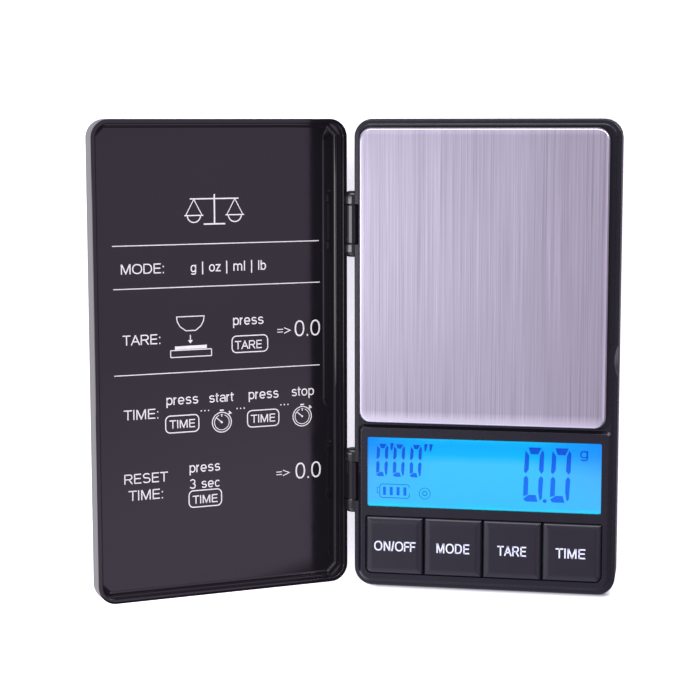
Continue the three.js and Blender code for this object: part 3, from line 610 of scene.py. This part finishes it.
def tray():
    shape = Shape()
    side = [(0.42, TRAY_EDGE_Z), (0.1, TRAY_EDGE_Z), (0.02, 14.43), (0, 14.5), (0, 16.08)]
    insets = (0.02, 0.06, 0.12, 0.2, 0.3, 0.4, 0.5, 0.6, 0.75, 0.95, 1.3, 1.7, 2.2)
    side += [(inset, tray_height(inset)) for inset in insets]
    under = [(0.95, 16.5), (0.5, 16.1), (0.5, 14.5)]
    rings = [ring(**TRAY, z=z, inset=inset) for inset, z in side]
    made = shape.loft(rings, caps=False)
    inner = shape.loft([ring(**TRAY, z=z, inset=inset) for inset, z in under], caps=False)
    shape.strip(inner[-1], made[0])
    shape.bm.faces.new(made[-1])
    shape.bm.faces.new(list(reversed(inner[0])))
    shape.done("tray", "platform", "brushed_steel", stands_for=["platform_tray"])


def keys():
    """Key caps, each with a flange that holds it under the frame. The outer front corners are rounder."""
    w = KEY_PITCH - KEY_GAP
    flange_x, flange_y, flange_h = w / 2 - 0.8, KEY_L / 2 + 0.6, 0.8
    outer, inner = 1.6, 0.45
    side = [(0.1, KEY_FOOT_Z), (0, 13.05)] + fillet(0, KEY_EDGE_Z, 1.9, KEY_Z, steps=12)
    for i, (name, x) in enumerate(zip(KEY_NAMES, KEY_XS)):
        shape = Shape()
        left, right = (outer if i == 0 else inner), (outer if i == len(KEY_XS) - 1 else inner)
        cap = dict(w=w, l=KEY_L, corners=(0.5, 0.5, left, right), cx=x, cy=KEY_Y)
        shape.loft([ring(**cap, z=z, inset=inset) for inset, z in side])
        shape.block((x - flange_x, KEY_Y - flange_y, KEY_FOOT_Z),
                    (x + flange_x, KEY_Y + flange_y, KEY_FOOT_Z + flange_h), 0.1)
        shape.done(f"key_cap_{name}", f"key_{name}", "key_plastic", stands_for=[f"key_{name}"])


def window():
    shape = Shape()
    side = [(0.06, 13.85), (0, 13.9), (0, 15.0), (0.02, 15.05), (0.08, 15.1)]
    shape.loft([ring(**WINDOW, z=z, inset=inset) for inset, z in side])
    shape.done("window_pane", "case", "window", stands_for=["display_window"])


# -------- cover


def lid():
    """The cover, given shut: a rebate over the case's lip, a step, and a hollow with cut corners."""
    shape = Shape()
    round_z = COVER_Z - 1.0
    side = [(1.0, RIM_Z), (0.24, RIM_Z)] + fillet(0.22, RIM_Z, 0, RIM_Z + 0.22, False, 3)[1:]
    side += [(0, 15.5), (0, round_z)] + fillet(0, round_z, 1.0, COVER_Z, steps=8)[1:]
    outer = shape.loft([ring(**OUTLINE, z=z, inset=inset) for inset, z in side], caps=False)
    rebate = fillet(1.07, RIM_Z, 1.25, RIM_Z + 0.18, False, 4)[1:]
    rebate += [(1.25, 15.35), (1.27, 15.39), (1.33, STEP_Z)]
    inner = [ring(**OUTLINE, z=z, inset=inset) for inset, z in rebate]
    half_x, half_y, cut = HALF_X - 1.8, HALF_Y - 1.8, 2.6
    hollow = [(-0.06, STEP_Z), (-0.02, 15.42), (0, 15.46)] + fillet(0, 17.45, 0.65, FLOOR_Z, steps=8)
    inner += [cut_corner_ring(half_x - i, half_y - i, cut - i * 0.5, z) for i, z in hollow]
    inside = shape.loft(inner, caps=False)
    shape.strip(outer[0], inside[0])
    shape.bm.faces.new(outer[-1])
    shape.bm.faces.new(list(reversed(inside[-1])))
    shape.done("cover", "lid", "lid_plastic", opened, stands_for=["lid_shell"])

    # Each knuckle's end, from its bore outwards, and the same end mirrored.
    half = 5.3
    end = [(0.89, 0.5), (0.89, 0.1), (1.0, 0), (1.9, 0), (2.04, 0.06), (2.1, 0.2)]
    profile = end + [(r, 2 * half - along) for r, along in reversed(end)]
    for n, y in enumerate(HINGE_YS, 1):
        barrel = Shape()
        barrel.turned((HINGE_X, y - half, HINGE_Z), (0, 1, 0), profile)
        barrel.block((HINGE_X - 0.5, y - half, HINGE_Z), (-HALF_X + 1.15, y + half, 14.8), 0.15)
        barrel.done(f"cover_knuckle_{n}", "lid", "lid_plastic", opened)


# -------- lettering

# Letters drawn as strokes: width and height of the letter in cap heights, then its strokes. In a stroke, x
# and y run from 0 to 1 between the centre lines of the outermost strokes. A line is (x0, y0, x1, y1); a bow
# is part of a rounded ring, (centre x, centre y, reach x, reach y, start angle, end angle). Width None is
# one stroke.
BOWL = (0.5, 0.5, 0.5, 0.5, 0, 360)
STEM, TOP, FOOT = (0, 0, 0, 1), (0, 1, 1, 1), (0, 0, 1, 0)
SNAKE = [(0.5, 0.76, 0.46, 0.24, 22, 270), (0.5, 0.26, 0.5, 0.26, 90, -158)]
LETTERS = {
    "A": (0.93, 1, [(0, 0, 0.5, 1), (1, 0, 0.5, 1), (0.2, 0.32, 0.8, 0.32)]),
    "D": (0.86, 1, [STEM, (0, 1, 0.4, 1), (0, 0, 0.4, 0), (0.42, 0.5, 0.58, 0.5, -90, 90)]),
    "E": (0.73, 1, [STEM, TOP, (0, 0.52, 0.92, 0.52), FOOT]),
    "F": (0.68, 1, [STEM, TOP, (0, 0.5, 0.88, 0.5)]),
    "I": (None, 1, [(0.5, 0, 0.5, 1)]),
    "M": (0.96, 1, [STEM, (1, 0, 1, 1), (0.06, 1, 0.5, 0), (0.94, 1, 0.5, 0)]),
    "N": (0.8, 1, [STEM, (1, 0, 1, 1), (0.07, 1, 0.93, 0)]),
    "O": (1.0, 1, [BOWL]),
    "R": (0.85, 1, [
        STEM, (0, 1, 0.55, 1), (0, 0.48, 0.55, 0.48), (0.6, 0.74, 0.38, 0.26, -90, 90),
        (0.56, 0.48, 0.97, 0),
    ]),
    "S": (0.8, 1, SNAKE),
    "T": (0.82, 1, [TOP, (0.5, 0, 0.5, 1)]),
    "0": (0.64, 1, [BOWL]),
    "3": (0.62, 1, [(0.46, 0.76, 0.46, 0.24, 160, -90), (0.46, 0.26, 0.54, 0.26, 90, -160)]),
    "a": (0.6, 0.73, [
        (1, 0, 1, 0.6), (0.5, 0.64, 0.5, 0.36, 0, 155), (0.45, 0.26, 0.45, 0.26, 90, 300),
        (0.45, 0.53, 0.9, 0.57),
    ]),
    "b": (0.6, 0.73, [(0, 0, 0, 1.42), BOWL]),
    "c": (0.58, 0.73, [(0.5, 0.5, 0.5, 0.5, 42, 318)]),
    "e": (0.62, 0.73, [(0, 0.48, 1, 0.48), (0.5, 0.5, 0.5, 0.5, 0, 318)]),
    "g": (0.6, 0.73, [BOWL, (1, 1, 1, -0.1), (0.5, -0.12, 0.5, 0.3, 0, -150)]),
    "l": (None, 0.73, [(0.5, 0, 0.5, 1.42)]),
    "m": (0.98, 0.73, [
        STEM, (0.5, 0, 0.5, 0.6), (1, 0, 1, 0.6), (0.25, 0.6, 0.25, 0.4, 0, 180),
        (0.75, 0.6, 0.25, 0.4, 0, 180),
    ]),
    "o": (0.64, 0.73, [BOWL]),
    "p": (0.6, 0.73, [(0, 1, 0, -0.42), BOWL]),
    "r": (0.36, 0.73, [STEM, (0.95, 0.4, 0.95, 0.6, 172, 92)]),
    "s": (0.56, 0.73, SNAKE),
    "t": (0.34, 0.73, [TOP, (0.35, 0.2, 0.35, 1.3), (0.98, 0.22, 0.63, 0.22, 180, 265)]),
    "z": (0.56, 0.73, [TOP, (0.1, 0.06, 0.9, 0.94), FOOT]),
    "/": (0.36, 1, [(0, 0, 1, 1)]),
    "|": (None, 1, [(0.5, -0.28, 0.5, 1.04)]),
    ":": (None, 0.73, [(0.5, 0, 0.5, 0.02), (0.5, 0.98, 0.5, 1)]),
    ".": (None, 1, [(0.5, 0, 0.5, 0.02)]),
    " ": (0.3, 1, []),
}
# Room at each side of a letter, in cap heights: less beside round and open letters.
STRAIGHT_SPACE, ROUND_SPACE, OPEN_SPACE = 0.095, 0.06, 0.02
SIDE_SPACE = {letter: STRAIGHT_SPACE for letter in LETTERS}
SIDE_SPACE.update({letter: ROUND_SPACE for letter in "OS0DRabcegops3"})
SIDE_SPACE.update({letter: OPEN_SPACE for letter in "ATFrtz/"})


# -------- printing and display marks


class Drawing:
    """Flat artwork: strokes, filled shapes and lettering, in millimetres, X to the right and Y up."""

    def __init__(self):
        self.verts, self.faces = [], []

    def shape(self, points):
        start = len(self.verts)
        self.verts += [(p[0], p[1], 0.0) for p in points]
        self.faces.append(tuple(range(start, start + len(points))))

    def stroke(self, points, width, closed=False):
        pts = [Vector(p) for p in points]
        n = len(pts)
        sides = []
        for i, p in enumerate(pts):
            before = pts[i - 1] if closed or i else None
            after = pts[(i + 1) % n] if closed or i + 1 < n else None
            a = (p - before).normalized() if before is not None else (after - p).normalized()
            b = (after - p).normalized() if after is not None else a
            normal = Vector((-(a + b).y, (a + b).x)).normalized()
            reach = width / 2 / max(normal.dot(Vector((-a.y, a.x))), 0.35)
            sides.append((p - normal * reach, p + normal * reach))
        for i in range(n if closed else n - 1):
            (a, b), (c, d) = sides[i], sides[(i + 1) % n]
            self.shape([a, c, d, b])

    def arc(self, centre, r, width, start=0, end=360, steps=32):
        full = end - start == 360
        count = steps if full else steps + 1
        angles = [math.radians(start + (end - start) * i / steps) for i in range(count)]
        points = [(centre[0] + r * math.cos(t), centre[1] + r * math.sin(t)) for t in angles]
        self.stroke(points, width, full)

    def dot(self, centre, r, steps=16):
        angles = [i / steps * 2 * math.pi for i in range(steps)]
        self.shape([(centre[0] + r * math.cos(t), centre[1] + r * math.sin(t)) for t in angles])

    def box(self, x0, y0, x1, y1, r, width):
        middle = dict(cx=(x0 + x1) / 2, cy=(y0 + y1) / 2)
        points = ring(x1 - x0, y1 - y0, (r,) * 4, 0, steps=6, **middle)
        self.stroke([p[:2] for p in points], width, True)

    def bar(self, x0, y0, x1, y1, width):
        """A straight stroke of a letter, cut level at its ends."""
        if y0 > y1:
            x0, y0, x1, y1 = x1, y1, x0, y0
        half = width / 2
        if y1 - y0 < 0.3 * abs(x1 - x0):
            left, right = ((x0, y0), (x1, y1)) if x0 < x1 else ((x1, y1), (x0, y0))
            self.shape([(left[0] - half, left[1] - half), (right[0] + half, right[1] - half),
                        (right[0] + half, right[1] + half), (left[0] - half, left[1] + half)])
            return
        lean = (x1 - x0) / (y1 - y0)
        level = half * math.sqrt(1 + lean * lean)
        low, high = x0 - lean * half, x1 + lean * half
        self.shape([(low - level, y0 - half), (low + level, y0 - half),
                    (high + level, y1 + half), (high - level, y1 + half)])

    def bow(self, cx, cy, rx, ry, start, end, width):
        """Part of a rounded ring, a little squarer than an ellipse."""
        full = abs(end - start) == 360
        steps = max(6, int(abs(end - start) / 12))

        def squarer(value):
            return math.copysign(abs(value) ** 0.88, value)

        points = []
        for i in range(steps if full else steps + 1):
            a = math.radians(start + (end - start) * i / steps)
            points.append((cx + rx * squarer(math.cos(a)), cy + ry * squarer(math.sin(a))))
        self.stroke(points, width, full)

    def text(self, words, x0, base, x1, size, weight):
        """Lettering on a base line from x0 to x1: size is a capital's height, weight a stroke's width in
        sizes."""
        pen = weight * size
        sizes = [LETTERS[c][0] or weight for c in words]
        spaces = [SIDE_SPACE[a] + SIDE_SPACE[b] for a, b in zip(words, words[1:])]
        narrow = (x1 - x0) / size / (sum(sizes) + sum(spaces))
        x = x0
        for c, w, space in zip(words, sizes, spaces + [0]):
            left, right = x + pen / 2, x + w * size * narrow - pen / 2
            foot, head = base + pen / 2, base + LETTERS[c][1] * size - pen / 2
            if right < left:
                left = right = (left + right) / 2
            for stroke in LETTERS[c][2]:
                a, b = left + stroke[0] * (right - left), foot + stroke[1] * (head - foot)
                c, d = stroke[2] * (right - left), stroke[3] * (head - foot)
                if len(stroke) == 4:
                    self.bar(a, b, left + c, foot + d, pen)
                else:
                    self.bow(a, b, c, d, *stroke[4:], pen)
            x += (w + space) * size * narrow

    def done(self, name, body, place, material):
        """The artwork as a thin film; place takes (x, y, height) to the row frame."""
        bm = bmesh.new()
        verts = [bm.verts.new(v) for v in self.verts]
        for f in self.faces:
            if len(set(f)) > 2:
                bm.faces.new([verts[i] for i in f])
        bmesh.ops.remove_doubles(bm, verts=bm.verts, dist=1e-4)
        bmesh.ops.recalc_face_normals(bm, faces=bm.faces)
        for f in bm.faces:
            if f.normal.z < 0:
                f.normal_flip()
        base = list(bm.faces)
        made = bmesh.ops.extrude_face_region(bm, geom=base)
        for v in (g for g in made["geom"] if isinstance(g, bmesh.types.BMVert)):
            v.co.z = FILM_THICK
        for f in base:
            if f.is_valid:
                f.normal_flip()
        for v in bm.verts:
            v.co = place(v.co)
        bmesh.ops.recalc_face_normals(bm, faces=bm.faces)
        finished(name, to_mesh(bm, name), body, None, material)


def on_key(p):
    return to_row((p[0], p[1], KEY_Z + FILM_GAP + p[2]))


def key_legends():
    base, size, weight = -54.85, 2.8, 0.142
    legends = (("ON/OFF", -5.65, 6.1), ("MODE", -4.5, 4.7), ("TARE", -4.0, 4.0), ("TIME", -4.4, 3.75))
    for name, x, (words, x0, x1) in zip(KEY_NAMES, KEY_XS, legends):
        art = Drawing()
        art.text(words, x + x0, base, x + x1, size, weight)
        art.done(f"legend_{name}", f"key_{name}", on_key, "key_ink")


def on_lid(p):
    """From the print, X = 0 at the hinge side and Y = 0 at the +Y edge, to the floor of the open cover."""
    return opened((-HALF_X - p[0], HALF_Y + p[1], FLOOR_Z - FILM_GAP - p[2]))


def stopwatch(art, x, y):
    """A case, an inner ring with a gap, a crown with its stem, a side button, and one hand."""
    art.arc((x, y), 2.78, 0.26)
    art.arc((x, y), 2.15, 0.2, 112, 428, 28)
    art.stroke([(x - 0.55, y + 3.35), (x + 0.55, y + 3.35)], 0.4)
    art.stroke([(x, y + 1.55), (x, y + 2.2)], 0.22)
    art.stroke([(x - 0.35, y + 2.15), (x + 0.35, y + 2.15)], 0.2)
    art.stroke([(x + 1.95, y + 2.05), (x + 2.45, y + 2.6)], 0.3)
    art.stroke([(x + 2.1, y + 2.95), (x + 2.8, y + 2.25)], 0.42)
    art.dot((x, y), 0.3)
    art.stroke([(x, y), (x - 1.6, y + 1.35)], 0.26)


def becomes(art, x, y):
    """An equals sign and an arrow head."""
    for d in (0.38, -0.38):
        art.stroke([(x, y + d), (x + 1.7, y + d)], 0.24)
    art.stroke([(x + 2.0, y + 0.8), (x + 3.85, y), (x + 2.0, y - 0.8)], 0.24)


def lid_print():
    """Operating hints, with X to the right and Y up when they are read, in on_lid()'s coordinates."""
    rules = Drawing()
    for x0, x1, y in ((-66.5, -6.75, -33.9), (-66.4, -6.5, -45.55), (-66.5, -6.6, -69.0)):
        rules.stroke([(x0, y), (x1, y)], 0.25)
    rules.done("lid_rules", "lid", on_lid, "white_ink")

    words = Drawing()
    for text, x0, base, x1, size in (
        ("MODE:", -64.15, -41.55, -52.1, 2.72),
        ("g | oz | ml | lb", -44.5, -41.55, -22.6, 2.75),
        ("TARE:", -64.0, -60.85, -53.4, 2.75),
        ("press", -32.4, -56.65, -23.45, 2.85),
        ("TARE", -31.9, -63.4, -24.0, 2.35),
        ("0.0", -14.15, -60.6, -6.5, 4.5),
        ("TIME:", -64.0, -81.3, -54.25, 2.75),
        ("press", -51.9, -77.85, -42.75, 2.85),
        ("TIME", -51.1, -84.4, -43.75, 2.3),
        ("start", -39.6, -77.85, -32.4, 2.75),
        ("press", -28.0, -77.65, -19.1, 2.85),
        ("TIME", -27.4, -84.35, -20.15, 2.3),
        ("stop", -15.15, -77.55, -8.4, 2.8),
        ("RESET", -64.15, -99.0, -51.75, 2.75),
        ("TIME:", -63.0, -103.65, -53.25, 2.8),
        ("press", -45.5, -97.1, -36.6, 2.85),
        ("3 sec", -45.45, -101.65, -36.6, 2.7),
        ("TIME", -44.7, -105.95, -37.45, 2.3),
        ("0.0", -14.1, -101.25, -6.4, 4.6),
    ):
        # Thin figures, and heavier strokes for the small words in boxes.
        weight = 0.095 if text == "0.0" else 0.116 if size > 2.5 else 0.13
        words.text(text, x0, base, x1, size, weight)
    words.done("lid_words", "lid", on_lid, "white_ink")

    marks = Drawing()
    boxes = ((-32.9, -64.45, -22.1, -59.55), (-52.35, -85.75, -42.5, -80.75),
             (-28.55, -85.65, -18.9, -80.7), (-45.9, -107.05, -36.1, -102.1))
    for x0, y0, x1, y1 in boxes:
        marks.box(x0 + 0.15, y0 + 0.15, x1 - 0.15, y1 - 0.15, 1.3, 0.3)
    becomes(marks, -19.35, -58.78)
    becomes(marks, -19.9, -99.25)
    for x, y in ((-40.85, -80.0), (-30.4, -80.0), (-17.35, -79.75)):
        for k in (-1, 0, 1):
            marks.dot((x + k * 1.05, y), 0.2)
    # A cup, an arrow and the scale.
    marks.stroke([(-48.7, -53.65), (-48.5, -55.0), (-47.75, -56.35), (-46.1, -57.55),
                  (-43.25, -57.55), (-41.75, -56.35), (-41.0, -55.0), (-40.8, -53.65)], 0.26, True)
    marks.stroke([(-44.8, -58.75), (-44.8, -60.3)], 0.26)
    marks.shape([(-44.8, -61.1), (-44.1, -60.2), (-45.5, -60.2)])
    marks.shape([(-49.25, -62.65), (-40.1, -62.6), (-40.1, -61.65), (-49.25, -61.75)])
    marks.box(-50.5, -64.75, -38.75, -62.85, 0.1, 0.26)
    stopwatch(marks, -35.95, -83.55)
    stopwatch(marks, -12.0, -83.4)
    # A plain balance at the top of the cover.
    marks.stroke([(-44.5, -21.6), (-30.5, -21.6)], 0.34)
    marks.stroke([(-37.5, -20.4), (-37.5, -28.4)], 0.4)
    marks.stroke([(-40.6, -28.5), (-34.4, -28.5)], 0.4)
    for x in (-43.4, -31.6):
        marks.stroke([(x - 2.3, -26.0), (x, -21.7), (x + 2.3, -26.0)], 0.22)
        marks.stroke([(x - 2.7, -26.1), (x + 2.7, -26.1)], 0.3)
        marks.arc((x, -26.1), 1.9, 0.3, 180, 360, 12)
    marks.done("lid_marks", "lid", on_lid, "white_ink")


LCD_LEAN = 0.025


def digit(art, x, top, w, h, s, t, gap):
    """Leaning seven-segment 0 with slanting ends: x is the left of its foot, s and t the thickness of its
    upright and level segments."""
    middle, foot = -h / 2, -h
    upper = [(0.55 * s + gap, 0), (w - 0.35 * s - gap, 0), (w - s - gap, -t), (s + 1.4 * gap, -t)]
    lower = [
        (s + 0.8 * gap, foot + t), (w - 1.25 * s - gap, foot + t), (w - 0.8 * s - gap, foot),
        (0.6 * s, foot), (0, foot + 0.4 * t),
    ]
    upper_left = [
        (0.15 * s, -0.45 * t), (s, -t - gap), (s, middle + 1.1 * s), (0.45 * s, middle + gap),
        (0, middle + 0.6 * s),
    ]
    lower_left = [
        (0, middle - 0.8 * s), (0.5 * s, middle - gap), (s, middle - 0.9 * s), (s, foot + t + 0.1 * gap),
        (0, foot + 0.75 * t),
    ]
    upper_right = [
        (w - 0.4 * s, -0.3 * t), (w - 0.9 * s, -t - gap), (w - s, middle + 1.0 * s),
        (w - 0.45 * s, middle + gap), (w, middle + 0.8 * s), (w, -0.8 * t),
    ]
    lower_right = [
        (w - 0.5 * s, middle - gap), (w - s, middle - 0.9 * s), (w - s, foot + 1.5 * t),
        (w - 0.6 * s, foot + 0.2 * t), (w - 0.15 * s, foot + 0.5 * t), (w, middle - 0.8 * s),
    ]
    for segment in (upper, lower, upper_left, lower_left, upper_right, lower_right):
        art.shape([(x + px + LCD_LEAN * (py + h), top + py) for px, py in segment])


def on_glass(p):
    return to_row((p[0], p[1], GLASS_Z + p[2]))


def display_marks():
    """The timer and its primes, the weight with its unit, two rings and the battery."""
    big = Drawing()
    for x in (-30.25, -25.5, -20.75):
        digit(big, x, -24.8, 3.3, 9.2, 0.94, 1.22, 0.2)
    for x in (-26.2, -16.65, -15.2):
        big.shape([(x + 0.05, -24.5), (x + 1.05, -24.5), (x + 0.5, -26.55), (x + 0.1, -26.55)])
    for x in (11.02, 18.45):
        digit(big, x, -24.5, 5.4, 15.2, 1.3, 1.9, 0.3)
    big.dot((17.05, -39.4), 0.55)
    big.text("g", 26.6, -27.15, 28.75, 2.95, 0.13)
    big.done("lcd_digits", "case", on_glass, "lcd_segment")

    # The battery's outline, open at its right end, with its nib on the left.
    small = Drawing()
    right, top, low, left, r, cut = -20.75, -36.2, -40.05, -29.15, 0.7, 0.2
    small.stroke([
        (right, -37.1), (right, top - r), (right - cut, top - cut), (right - r, top),
        (left + r, top), (left + cut, top - cut), (left, top - r),
        (left, low + r), (left + cut, low + cut), (left + r, low),
        (right - r, low), (right - cut, low + cut), (right, low + r), (right, -38.7),
    ], 0.24)
    small.stroke([(left - 0.15, -37.15), (-29.9, -37.15), (-29.9, -38.8), (left - 0.15, -38.8)], 0.2)
    small.arc((-16.4, -38.5), 1.55, 0.2)
    small.arc((-16.4, -38.5), 0.6, 0.26, steps=20)
    small.done("lcd_outlines", "case", on_glass, "lcd_symbol")

    bars = Drawing()
    for i in range(4):
        x = -28.25 + i * 1.93
        bars.shape([(x, -39.3), (x + 0.85, -39.3), (x + 0.85, -36.95), (x, -36.95)])
    bars.done("lcd_battery_bars", "case", on_glass, "lcd_segment")


# -------- the rest of the CAD

WELD_WITHIN, EDGE_ROUND, EDGE_ANGLE = 1e-6, 0.0001, math.radians(40)


def carried_over():
    """Gives every CAD node its slot's finish, and rounded edges and clean normals where it is shown."""
    slots = {part["node"]: part["material_slot"] for part in frame["record"]["subparts"]}
    for name, obj in frame["nodes"].items():
        obj.data.materials.clear()
        obj.data.materials.append(MATERIALS[slots[name]])
        if obj.hide_render:
            continue
        weld = obj.modifiers.new("weld", "WELD")
        weld.merge_threshold = WELD_WITHIN
        bevel = obj.modifiers.new("edges", "BEVEL")
        bevel.width = EDGE_ROUND
        bevel.segments = 2
        bevel.angle_limit = EDGE_ANGLE
        even_normals(obj)


# -------- studio

# Lights, all aimed at the origin: name, place, size, watts, and whether matt and glossy surfaces see it.
LIGHTS = (
    ("left_softbox", (-0.75, 0.15, 0.55), (0.5, 0.9), 4.0, True, False),
    ("top_softbox", (0.0, 0.85, 0.6), (0.9, 0.4), 5.0, True, True),
    ("right_fill", (0.7, -0.1, 0.5), (0.5, 0.9), 2.5, True, False),
    ("corner_light", (0.8, 0.64, 0.14), (0.55, 0.26), 6.0, False, True),
    ("left_strip", (-0.62, -0.05, 0.62), (0.16, 1.1), 2.8, False, True),
)
WORLD_STRENGTH = 0.95
FLOOR_HALF = 4


def lights():
    for name, place, size, power, matt, glossy in LIGHTS:
        data = bpy.data.lights.new(name, "AREA")
        data.shape = "RECTANGLE"
        data.size, data.size_y = size
        data.energy = power
        obj = add_object(name, data)
        obj.visible_diffuse = matt
        obj.visible_glossy = glossy
        obj.location = place
        obj.rotation_euler = (-Vector(place)).to_track_quat("-Z", "Y").to_euler()


def surroundings():
    """A pale studio all round, by direction: brightest on the left, dimmer overhead, brighter again behind,
    in front and on the right, and dark low down on the right. Below the horizon it is pale on the left."""
    world = bpy.data.worlds.new("studio")
    world.use_nodes = True
    g = Graph(world.node_tree, "Generated")
    axes = g.axes()
    x, y, z = axes["X"], axes["Y"], axes["Z"]
    across = g.spread(x, 0.0, 1.0, -1.0, 1.0)
    side = g.ramp(across, [
        (0.0, (0.8, 0.78, 0.88)), (0.3, (1.0, 0.97, 1.1)), (0.4, (0.78, 0.75, 0.88)),
        (0.47, (0.52, 0.5, 0.6)), (0.55, (0.4, 0.38, 0.46)), (0.66, (0.62, 0.57, 0.68)),
        (0.85, (0.88, 0.74, 0.99)), (1.0, (0.88, 0.73, 1.0)),
    ])
    right = g.spread(x, 0.0, 1.0, 0.2, 0.5)
    slope = g.math("DIVIDE", g.times(y, -1.0), z)
    behind = g.spread(y, 0.0, 0.4, 0.1, 0.7)
    lift = g.times(g.spread(slope, 0.0, 0.36, 0.2, 0.33), right)
    front = g.spread(y, 0.0, 0.7, -0.28, -0.6)
    glow = g.plus(behind, lift, front, 1.0)
    height = g.math("DIVIDE", z, x)
    low = g.times(g.spread(height, 1.0, 0.0, 0.6915, 0.693), g.spread(y, 1.0, 0.0, 0.3, 0.6))
    low = g.times(g.most(low, g.spread(slope, 0.0, 1.0, 0.42, 0.44)), right)
    dark = g.ramp(height, [(0.4, (0.25, 0.22, 0.28)), (0.58, (0.08, 0.07, 0.09))])
    shade = g.mix(low, g.mix(1.0, side, glow, "MULTIPLY"), dark)
    below = g.ramp(across, [
        (0.1, (1.5, 1.45, 1.56)), (0.35, (0.4, 0.39, 0.44)), (0.5, (0.25, 0.24, 0.28)),
    ])
    shade = g.mix(g.spread(z, 1.0, 0.0, -0.02, 0.02), shade, below)
    back = g.tree.nodes["Background"]
    g.link(shade, back.inputs["Color"])
    back.inputs["Strength"].default_value = WORLD_STRENGTH
    bpy.context.scene.world = world


def paper(name):
    """White, with a narrow contact shadow along the front edge of the case."""
    m = Nodes(name, (0.93, 0.93, 0.94), 0.9, Emission_Strength=1.0)
    axes = m.axes()

    def beyond(source, limit):
        return m.most(m.math("SUBTRACT", source, limit), 0.0)

    # How far a point is outside the rectangle between the middles of the case's round corners.
    off_middle = m.math("ABSOLUTE", m.math("SUBTRACT", axes["X"], CASE_X))
    aside = beyond(off_middle, (HALF_X - CORNER) * MM)
    ahead = beyond(m.times(axes["Y"], -1.0), (HALF_Y - CORNER) * MM)
    away = m.math("SQRT", m.plus(m.times(aside, aside), m.times(ahead, ahead)))
    # The shadow's edge, and where it fades out at the sides and behind the front.
    edge = m.spread(away, 0.12, 1.0, 0.0083, 0.0095)
    contact = m.most(edge, m.spread(aside, 0.0, 1.0, 0.001, 0.0045), m.along("Y", -58, -50))
    base = m.ramp(m.noise(3, 2), [(0.3, (0.925, 0.925, 0.935)), (0.7, (0.94, 0.94, 0.95))])
    glow = m.ramp(m.noise(2, 2), [(0.3, (0.58, 0.57, 0.63)), (0.7, (0.6, 0.59, 0.65))])
    m.color(m.mix(1.0, base, contact, "MULTIPLY"))
    m.color(m.mix(1.0, glow, contact, "MULTIPLY"), "Emission Color")


def ground():
    bm = bmesh.new()
    bm.faces.new([bm.verts.new((sx * FLOOR_HALF, sy * FLOOR_HALF, 0)) for sx, sy in QUADRANTS])
    mesh = to_mesh(bm, "floor")
    paper("floor")
    mesh.materials.append(MATERIALS["floor"])
    floor = add_object("floor", mesh)
    floor.visible_glossy = False


def studio():
    ground()
    surroundings()
    lights()
    view = bpy.context.scene.view_settings
    view.view_transform = "Standard"
    view.look = "None"
    view.exposure = 0
    view.gamma = 1


# Where the camera is, and the directions back from it and to its right.
CAMERA_PLACE = (0.08914, 0.06433, 0.51057)
CAMERA_BACK = (0.18338, 0.12346, 0.97530)
CAMERA_RIGHT = (0.98284, -0.00109, -0.18466)


def camera():
    data = bpy.data.cameras.new("camera")
    data.sensor_width = 36
    data.lens = 93.91
    data.clip_start = 0.01
    data.clip_end = 20
    back = Vector(CAMERA_BACK).normalized()
    right = Vector(CAMERA_RIGHT)
    right = (right - back * right.dot(back)).normalized()
    turn = Matrix((right, back.cross(right), back)).transposed().to_4x4()
    obj = add_object("camera", data)
    obj.matrix_world = Matrix.Translation(CAMERA_PLACE) @ turn
    bpy.context.scene.camera = obj


camera()
case_top()
case_deck()
case_ears()
tray()
keys()
window()
lid()
key_legends()
lid_print()
display_marks()
carried_over()
studio()
